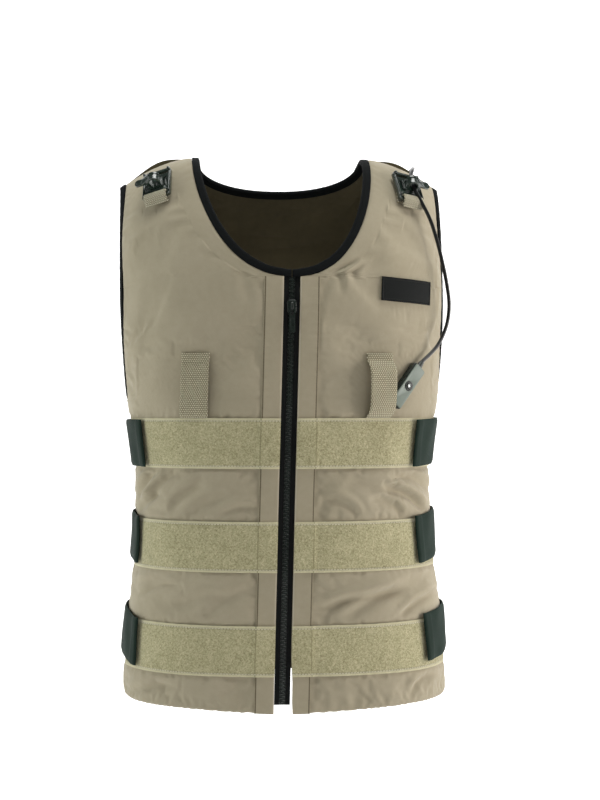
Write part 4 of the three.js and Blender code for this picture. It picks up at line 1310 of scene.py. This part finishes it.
# Label patch: a bare moulded rubber patch with a raised rim, sewn down inside that rim.
label_width, label_height, label_thickness = 0.053, 0.024, 0.0016
label_out, label_level, label_seam = 0.121, -0.146, 0.0023
tilt = math.radians(-3)
across = np.linspace(-0.5, 0.5, 95)[None, :] * label_width
up = np.linspace(0.5, -0.5, 47)[:, None] * label_height
x = label_out + across * math.cos(tilt) - up * math.sin(tilt)
z = label_level + across * math.sin(tilt) + up * math.cos(tilt)
edge = np.minimum(label_width / 2 - np.abs(across), label_height / 2 - np.abs(up))
rim = soft_step(0.0017, 0.0012, edge) * 0.00045
seam = np.exp(-((edge - label_seam) / 0.0003) ** 2) * 0.00022
top_face = label_thickness - 0.0005 + rim - seam - rolled(edge, 0.0007, 0.0006)
outer = place_on_front(1, x, z, 3 * seam_gap + top_face)
inner = place_on_front(1, x, z, 3 * seam_gap + rolled(edge, 0.0005, 0.0003))
label = shell("label_patch_rubber", outer, inner, across, up)
rubber, place = new_finish("moulded black rubber")
across, up = weave_place(place)
inset = (label_width / 2 - abs(across)).least(label_height / 2 - abs(up))
row = abs(inset - label_seam) < 0.00028
stitch = row * (((across + up) % 0.0026) < 0.0017)
film = grain(place, 0.0040, 3)
pores = grain(place, 0.0005, 2)
surface(pores * 0.6 + film * 0.4 + stitch * 1.5, 0.00008, 0.5, {
    "Base Color": mixed(stitch * 0.6, mixed(film, dye(9, 12, 12), dye(18, 22, 22)),
                        dye(40, 40, 37)),
    "Roughness": 0.52 + 0.2 * film,
    "Specular IOR Level": 0.14,
})
dress(label, "label_patch", "black_rubber", rubber)


# Shoulder tabs: short webbing straps sewn to the shoulder fronts. Each comes up round the lower
# bar of its clip base and goes down through the slot, so it holds the base to the cloth.
tab_width, tab_out, tab_foot, tab_rise, tab_gap = 0.025, 0.128, -0.055, 0.030, 0.001
# The tabs use the loops' webbing painted lighter, as painted light on the upturned folds.
lit_tab_webbing = webbing_finish("tan webbing lightened as painted light", dye(132, 124, 98), dye(255, 250, 226))
clip_seat = {
    side: seat(side, out, -down, tab_gap + webbing_thickness + seam_gap, side * -tilt)
    for side, out, down, tilt in ((-1, 0.126, 0.039, 16), (1, 0.127, 0.040, 8))
}
for name, side in sides:
    rows = np.linspace(0, 1, 41)[:, None]
    share = np.linspace(-0.5, 0.5, 21)[None, :]
    z = tab_foot + tab_rise * rows + 0 * share
    x = side * tab_out + tab_width * share + 0 * z
    edge = (0.5 - np.abs(share)) * tab_width
    roll = rolled(edge, 0.0010, 0.0006) + 0 * z
    outer = place_on_front(side, np.abs(x), z, tab_gap + webbing_thickness - roll)
    inner = place_on_front(side, np.abs(x), z, tab_gap + roll * 0.3)
    tab = shell(f"shoulder_tab_{name}_webbing", outer, inner,
                tab_width * (share + 0.5), tab_rise * rows)
    turn_round = smooth_line([
        (0, -0.0012, -0.0262), (0, -0.0034, -0.0240), (0, -0.0056, -0.0222), (0, -0.0071, -0.0200),
        (0, -0.0076, -0.0175), (0, -0.0076, -0.0150), (0, -0.0069, -0.0137), (0, -0.0046, -0.0130),
        (0, -0.0020, -0.0129),
    ], 6)
    path = np.array([p[:] for p in turn_round])
    way = np.gradient(path, axis=0)
    way /= np.linalg.norm(way, axis=1, keepdims=True)
    side_out = np.stack([0 * way[:, 0], -way[:, 2], way[:, 1]], -1)
    side_out *= np.where(side_out[:, 1:2] + side_out[:, 2:3] * 0.01 > 0, -1, 1)
    side_out[-12:] = np.array([0, 0, 1])
    spread = np.stack([share[0] * tab_width, 0 * share[0], 0 * share[0]], -1)
    rolls = rolled(edge[0], 0.0010, 0.0006)[None, :, None]
    outer = path[:, None] + spread[None] - side_out[:, None] * rolls
    inner = path[:, None] + spread[None] - side_out[:, None] * (0.0014 - rolls * 0.3)
    fold = shell("fold", outer, inner, tab_width * (share + 0.5), arc_lengths(path[:, None], 0))
    fold.data.transform(clip_seat[side])
    joined(tab, fold)
    dress(tab, f"shoulder_tab_{name}", "tan_webbing", lit_tab_webbing)


# Clip bases: flat moulded frames with a slot at each end for the webbing, rounded corners, a
# raised rail down each side and a small prong at each upper corner.
base_width, base_length, base_thickness = 0.031, 0.036, 0.0041
clip_plastic, place = new_finish("polished black plastic")
flow = grain(place, 0.0030, 3)
speckle = grain(place, 0.0006, 2)
surface(speckle * 0.6 + flow, 0.00006, 0.4, {
    "Base Color": mixed(flow, dye(20, 31, 26), dye(42, 57, 49)),
    "Roughness": 0.14 + 0.14 * flow,
    "Specular IOR Level": 0.6,
    "Coat Weight": 0.8,
    "Coat Roughness": 0.12,
})
for name, side in sides:
    base = begin(f"clip_base_{name}_frame", (base_width, base_thickness, base_length),
                 (0, -base_thickness / 2, 0))
    rounded(base, 0.0032, 5)
    for end in (-1, 1):
        carved(base, begin("slot", (tab_width + 0.001, 0.012, 0.0036), (0, 0, end * 0.0130)))
    for edge_side in (-1, 1):
        rail = begin("rail", (0.0016, 0.0014, 0.0260), (edge_side * 0.0142, -0.0045, 0))
        carved(base, bevelled(rail, 0.0003, 1), "UNION")
        prong = begin("prong", (0.0030, 0.0046, 0.0026), (edge_side * 0.0136, -0.0050, 0.0155))
        carved(base, bevelled(prong, 0.0006, 1), "UNION")
    carved(base, begin("well", (0.0235, 0.0016, 0.0120), (0, -base_thickness, 0)))
    bevelled(base, 0.00045, 2, 30)
    settled(base, clip_seat[side])
    dress(base, f"clip_base_{name}", "black_plastic", clip_plastic)


# Hose clips: a moulded foot with a half-round arch that a lead or hose snaps under, and a wing
# to turn it by. The arch has a raised lip at each end and the wing a finger hollow.
hose_bore, arch_wall, arch_length = 0.0090, 0.0021, 0.0090
arch_round = hose_bore / 2 + arch_wall
foot_low = base_thickness + seam_gap
foot_high = foot_low + 0.0014
arch_centre = foot_high - 0.0002 + hose_bore / 2


def arch_rod(radius, middle, depth, vertices=56):
    """Round bar on the arch's axis."""
    return rod(radius, middle - depth / 2, middle + depth / 2, (0, -arch_centre, 0), vertices)


for name, side in sides:
    foot_middle = (0, -(foot_low + foot_high) / 2, 0)
    clip = begin(f"hose_clip_{name}_arch", (2 * arch_round + 0.003, 0.0014, arch_length + 0.004),
                 foot_middle)
    rounded(clip, 0.0016, 3)
    ring = arch_rod(arch_round, 0, arch_length)
    for lip in (-1, 1):
        carved(ring, arch_rod(arch_round + 0.0006, lip * 0.0036, 0.0016), "UNION")
    legs = begin("legs", (2 * arch_round, arch_centre - foot_low, arch_length),
                 (0, -(foot_low + arch_centre) / 2, 0))
    carved(ring, legs, "UNION")
    carved(ring, begin("under", (0.02, 0.004, 0.02), (0, -foot_low - 0.0010 + 0.002, 0)))
    carved(clip, ring, "UNION")
    channel = begin("channel", (hose_bore, arch_centre - foot_high, 0.03),
                    (0, -(arch_centre + foot_high) / 2, 0))
    carved(clip, arch_rod(hose_bore / 2, 0, 0.03, 48))
    carved(clip, channel)
    wing_low = foot_high + hose_bore / 2
    wing = begin("wing", (0.0150, 0.0022, 0.0080), (side * 0.0128, -wing_low - 0.0011, 0))
    rounded(wing, 0.0030, 5, lambda middle, way: abs(way.y) > 0.9 and middle.x * side > 0.012)
    carved(wing, begin("hollow", (0.0060, 0.0010, 0.0048), (side * 0.0155, -wing_low - 0.0022, 0)))
    brace = begin("brace", (0.0112, 0.0024, 0.0080))
    brace.data.transform(Matrix.Translation((side * 0.0078, -wing_low - 0.0034, 0))
                         @ Matrix.Rotation(math.radians(side * 27), 4, "Z"))
    carved(wing, brace, "UNION")
    carved(clip, wing, "UNION")
    bevelled(clip, 0.0004, 2, 35)
    settled(clip, clip_seat[side])
    dress(clip, f"hose_clip_{name}", "black_plastic", clip_plastic)


# Controller: a slim black housing on the lead with a grey face plate and one ringed button. Its
# lower end is tucked in behind the chest loop.
controller_length, controller_width, controller_deep = 0.050, 0.016, 0.007
controller_seat = seat(1, x=0.117, z=-0.2415, height=0.0008, spin=-40)
plate_thickness, button_round = 0.0012, 0.0028
plate_low = controller_deep + seam_gap
plate_high = plate_low + plate_thickness
ring_round = button_round + seam_gap + 0.0016


def upright_disc(radius, low, high):
    """Disc that stands out of the cloth from one height to another."""
    disc = rod(radius, low, high)
    disc.data.transform(Matrix.Rotation(math.pi / 2, 4, "X"))
    return disc


housing = begin("controller_body_housing", (controller_width, controller_deep, controller_length),
                (0, -controller_deep / 2, 0))
rounded(housing, 0.0026, 5)
stepped(housing, (0.0007, 0), (0.0003, -0.0003))
ring = bevelled(upright_disc(ring_round, controller_deep - 0.001, plate_high + 0.0006), 0.0004, 2)
carved(ring, upright_disc(button_round + seam_gap, controller_deep, plate_high + 0.002))
carved(housing, ring, "UNION")
bevelled(housing, 0.0008, 3, 50)
bpy.ops.object.select_all(action="DESELECT")
bpy.ops.mesh.primitive_cone_add(vertices=40, radius1=0.0033, radius2=0.0024, depth=0.0065)
sleeve = bpy.context.object
sleeve_foot = controller_length / 2
sleeve.data.transform(Matrix.Translation((0, -controller_deep / 2, sleeve_foot + 0.0032)))
carved(sleeve, rod(0.00205, sleeve_foot + 0.0003, sleeve_foot + 0.0203,
                   (0, -controller_deep / 2, 0), 40))
joined(housing, sleeve)
settled(housing, controller_seat)
dress(housing, "controller_body", "black_plastic", moulded_black)

plate = begin("controller_plate_face",
              (controller_width - 0.002, plate_thickness, controller_length - 0.002),
              (0, -(plate_low + plate_high) / 2, 0))
rounded(plate, 0.0020, 5)
carved(plate, upright_disc(ring_round + seam_gap, 0, plate_high + 0.002))
bevelled(plate, 0.0003, 2)
settled(plate, controller_seat)
grey_plastic, place = new_finish("grey face plate")
flow = grain(place, 0.0060, 3)
spark = grain(place, 0.0005, 2)
surface(spark, 0.00006, 0.5, {
    "Base Color": mixed(flow * 0.6 + spark * 0.4, dye(100, 112, 102), dye(122, 134, 123)),
    "Roughness": 0.34 + 0.2 * flow,
    "Specular IOR Level": 0.5,
})
dress(plate, "controller_plate", "grey_plastic", grey_plastic)

button_low = controller_deep + seam_gap + 0.0008
button = upright_disc(button_round, button_low, plate_high + 0.0014)
button.name = "controller_button_cap"
stepped(button, (0.0007, 0), (0.0004, -0.00025))
bevelled(button, 0.0002, 2)
for face in button.data.polygons:
    face.material_index = int(math.hypot(face.center.x, face.center.z) < 0.0019)
settled(button, controller_seat)
steel, place = new_finish("polished steel")
worn = grain(place, 0.0009, 3)
surface(worn, 0.00003, 0.4, {
    "Base Color": mixed(worn, dye(112, 116, 114), dye(156, 160, 158)),
    "Roughness": 0.16 + 0.2 * worn,
    "Metallic": 1.0,
})
dress(button, "controller_button", "steel", moulded_black, steel, body="button")


# Port: a moulded rubber stub on the back of the shoulder that the lead comes out of, thick at
# its foot, ribbed and tapered towards the mouth.
port_way = Vector((0.2413, -0.3502, 0.9051)).normalized()
port = rod(0.0045, -0.0090, -0.0063, vertices=48)
port.name = "lead_gland_rubber"
for drop, share in ((0.0003, 0.90), (0.0009, 1.0), (0.0003, 1.10), (0.0012, 0.92), (0.0004, 0.88),
                    (0.0008, 1.0), (0.0004, 1.08), (0.0013, 0.90), (0.0008, 0.88)):
    choose(port, lambda middle, normal: normal.z > 0.9)
    bpy.ops.mesh.extrude_region_move(TRANSFORM_OT_translate={"value": (0, 0, drop)})
    bpy.ops.transform.resize(value=(share, share, 1))
    bpy.ops.object.mode_set(mode="OBJECT")
bevelled(port, 0.00015, 1, 50)
settled(port, Matrix.Translation(Vector(lead_route[0]) - port_way * seam_gap)
        @ Vector((0, 0, 1)).rotation_difference(port_way).to_matrix().to_4x4())
dress(port, "lead_gland", "black_rubber", rubber)


# Studio: a pale seamless sweep below and behind, two big soft lights low at the sides, one above,
# and weak ones in front and behind.
bpy.ops.object.select_all(action="DESELECT")
bpy.ops.mesh.primitive_grid_add(x_subdivisions=2, y_subdivisions=40, size=1)
sweep = bpy.context.object
sweep.name = "studio_sweep"
floor_level, floor_start, bend_start, bend_round, wall_rise = -0.74, -3.0, 1.6, 1.0, 3.0
glow_from = 0.12  # the paper behind this depth glows white, painted light that also lights the vest from behind
for point in sweep.data.vertices:
    along = point.co.y + 0.5
    x = point.co.x * 9
    if along < 0.55:
        point.co = (x, floor_start + along / 0.55 * (bend_start - floor_start), floor_level)
    else:
        bend = min(1, (along - 0.55) / 0.25) * math.pi / 2
        rise = max(0, along - 0.80) / 0.20 * wall_rise
        point.co = (x, bend_start + bend_round * math.sin(bend),
                    floor_level + bend_round * (1 - math.cos(bend)) + rise)
outward(sweep)
paper, place = new_finish("studio paper")
fibre = grain(place, 0.004, 2)
glowing_paper = place.node("ShaderNodeSeparateXYZ", {}, {"Vector": place}, "Y") > glow_from
# The paper glows strongly behind glow_from and faintly nearer: painted light, not lamp light.
surface(fibre, 0.0001, 0.1, {
    "Base Color": (0.80, 0.80, 0.80, 1),
    "Roughness": 0.9 + 0.05 * fibre,
    "Emission Color": mixed(glowing_paper, (0.16, 0.16, 0.16, 1), (1, 1, 1, 1)),
    "Emission Strength": 0.85,
    "Specular IOR Level": 0.1,
})
sweep.data.materials.append(paper)
for name, place, width, power, colour in (
    ("soft light right", (1.85, -0.45, -0.42), 1.3, 35, (1.0, 0.955, 0.92)),
    ("soft light left", (-1.85, -0.24, -0.20), 1.3, 18, (0.96, 1.0, 0.95)),
    ("soft light top", (0.25, -0.35, 1.6), 1.2, 28, (0.99, 1.0, 0.97)),
    ("soft light front", (0.9, -2.4, 1.2), 1.8, 1, (1.0, 0.985, 0.96)),
    ("soft light back", (0.0, 1.2, 1.2), 1.8, 8, (1.0, 1.0, 1.0)),
):
    bpy.ops.object.light_add(type="AREA", location=place)
    lamp = bpy.context.object
    lamp.name = name
    lamp.data.size = width
    lamp.data.energy = power
    lamp.data.color = colour
    aim = Vector((0, 0, -0.3)) - Vector(place)
    lamp.rotation_euler = aim.to_track_quat("-Z", "Y").to_euler()
world = bpy.data.worlds.new("studio")
bpy.context.scene.world = world
world.use_nodes = True
world.node_tree.nodes["Background"].inputs["Color"].default_value = (1, 1, 1, 1)
world.node_tree.nodes["Background"].inputs["Strength"].default_value = 0.10
bpy.context.scene.view_settings.view_transform = "Standard"
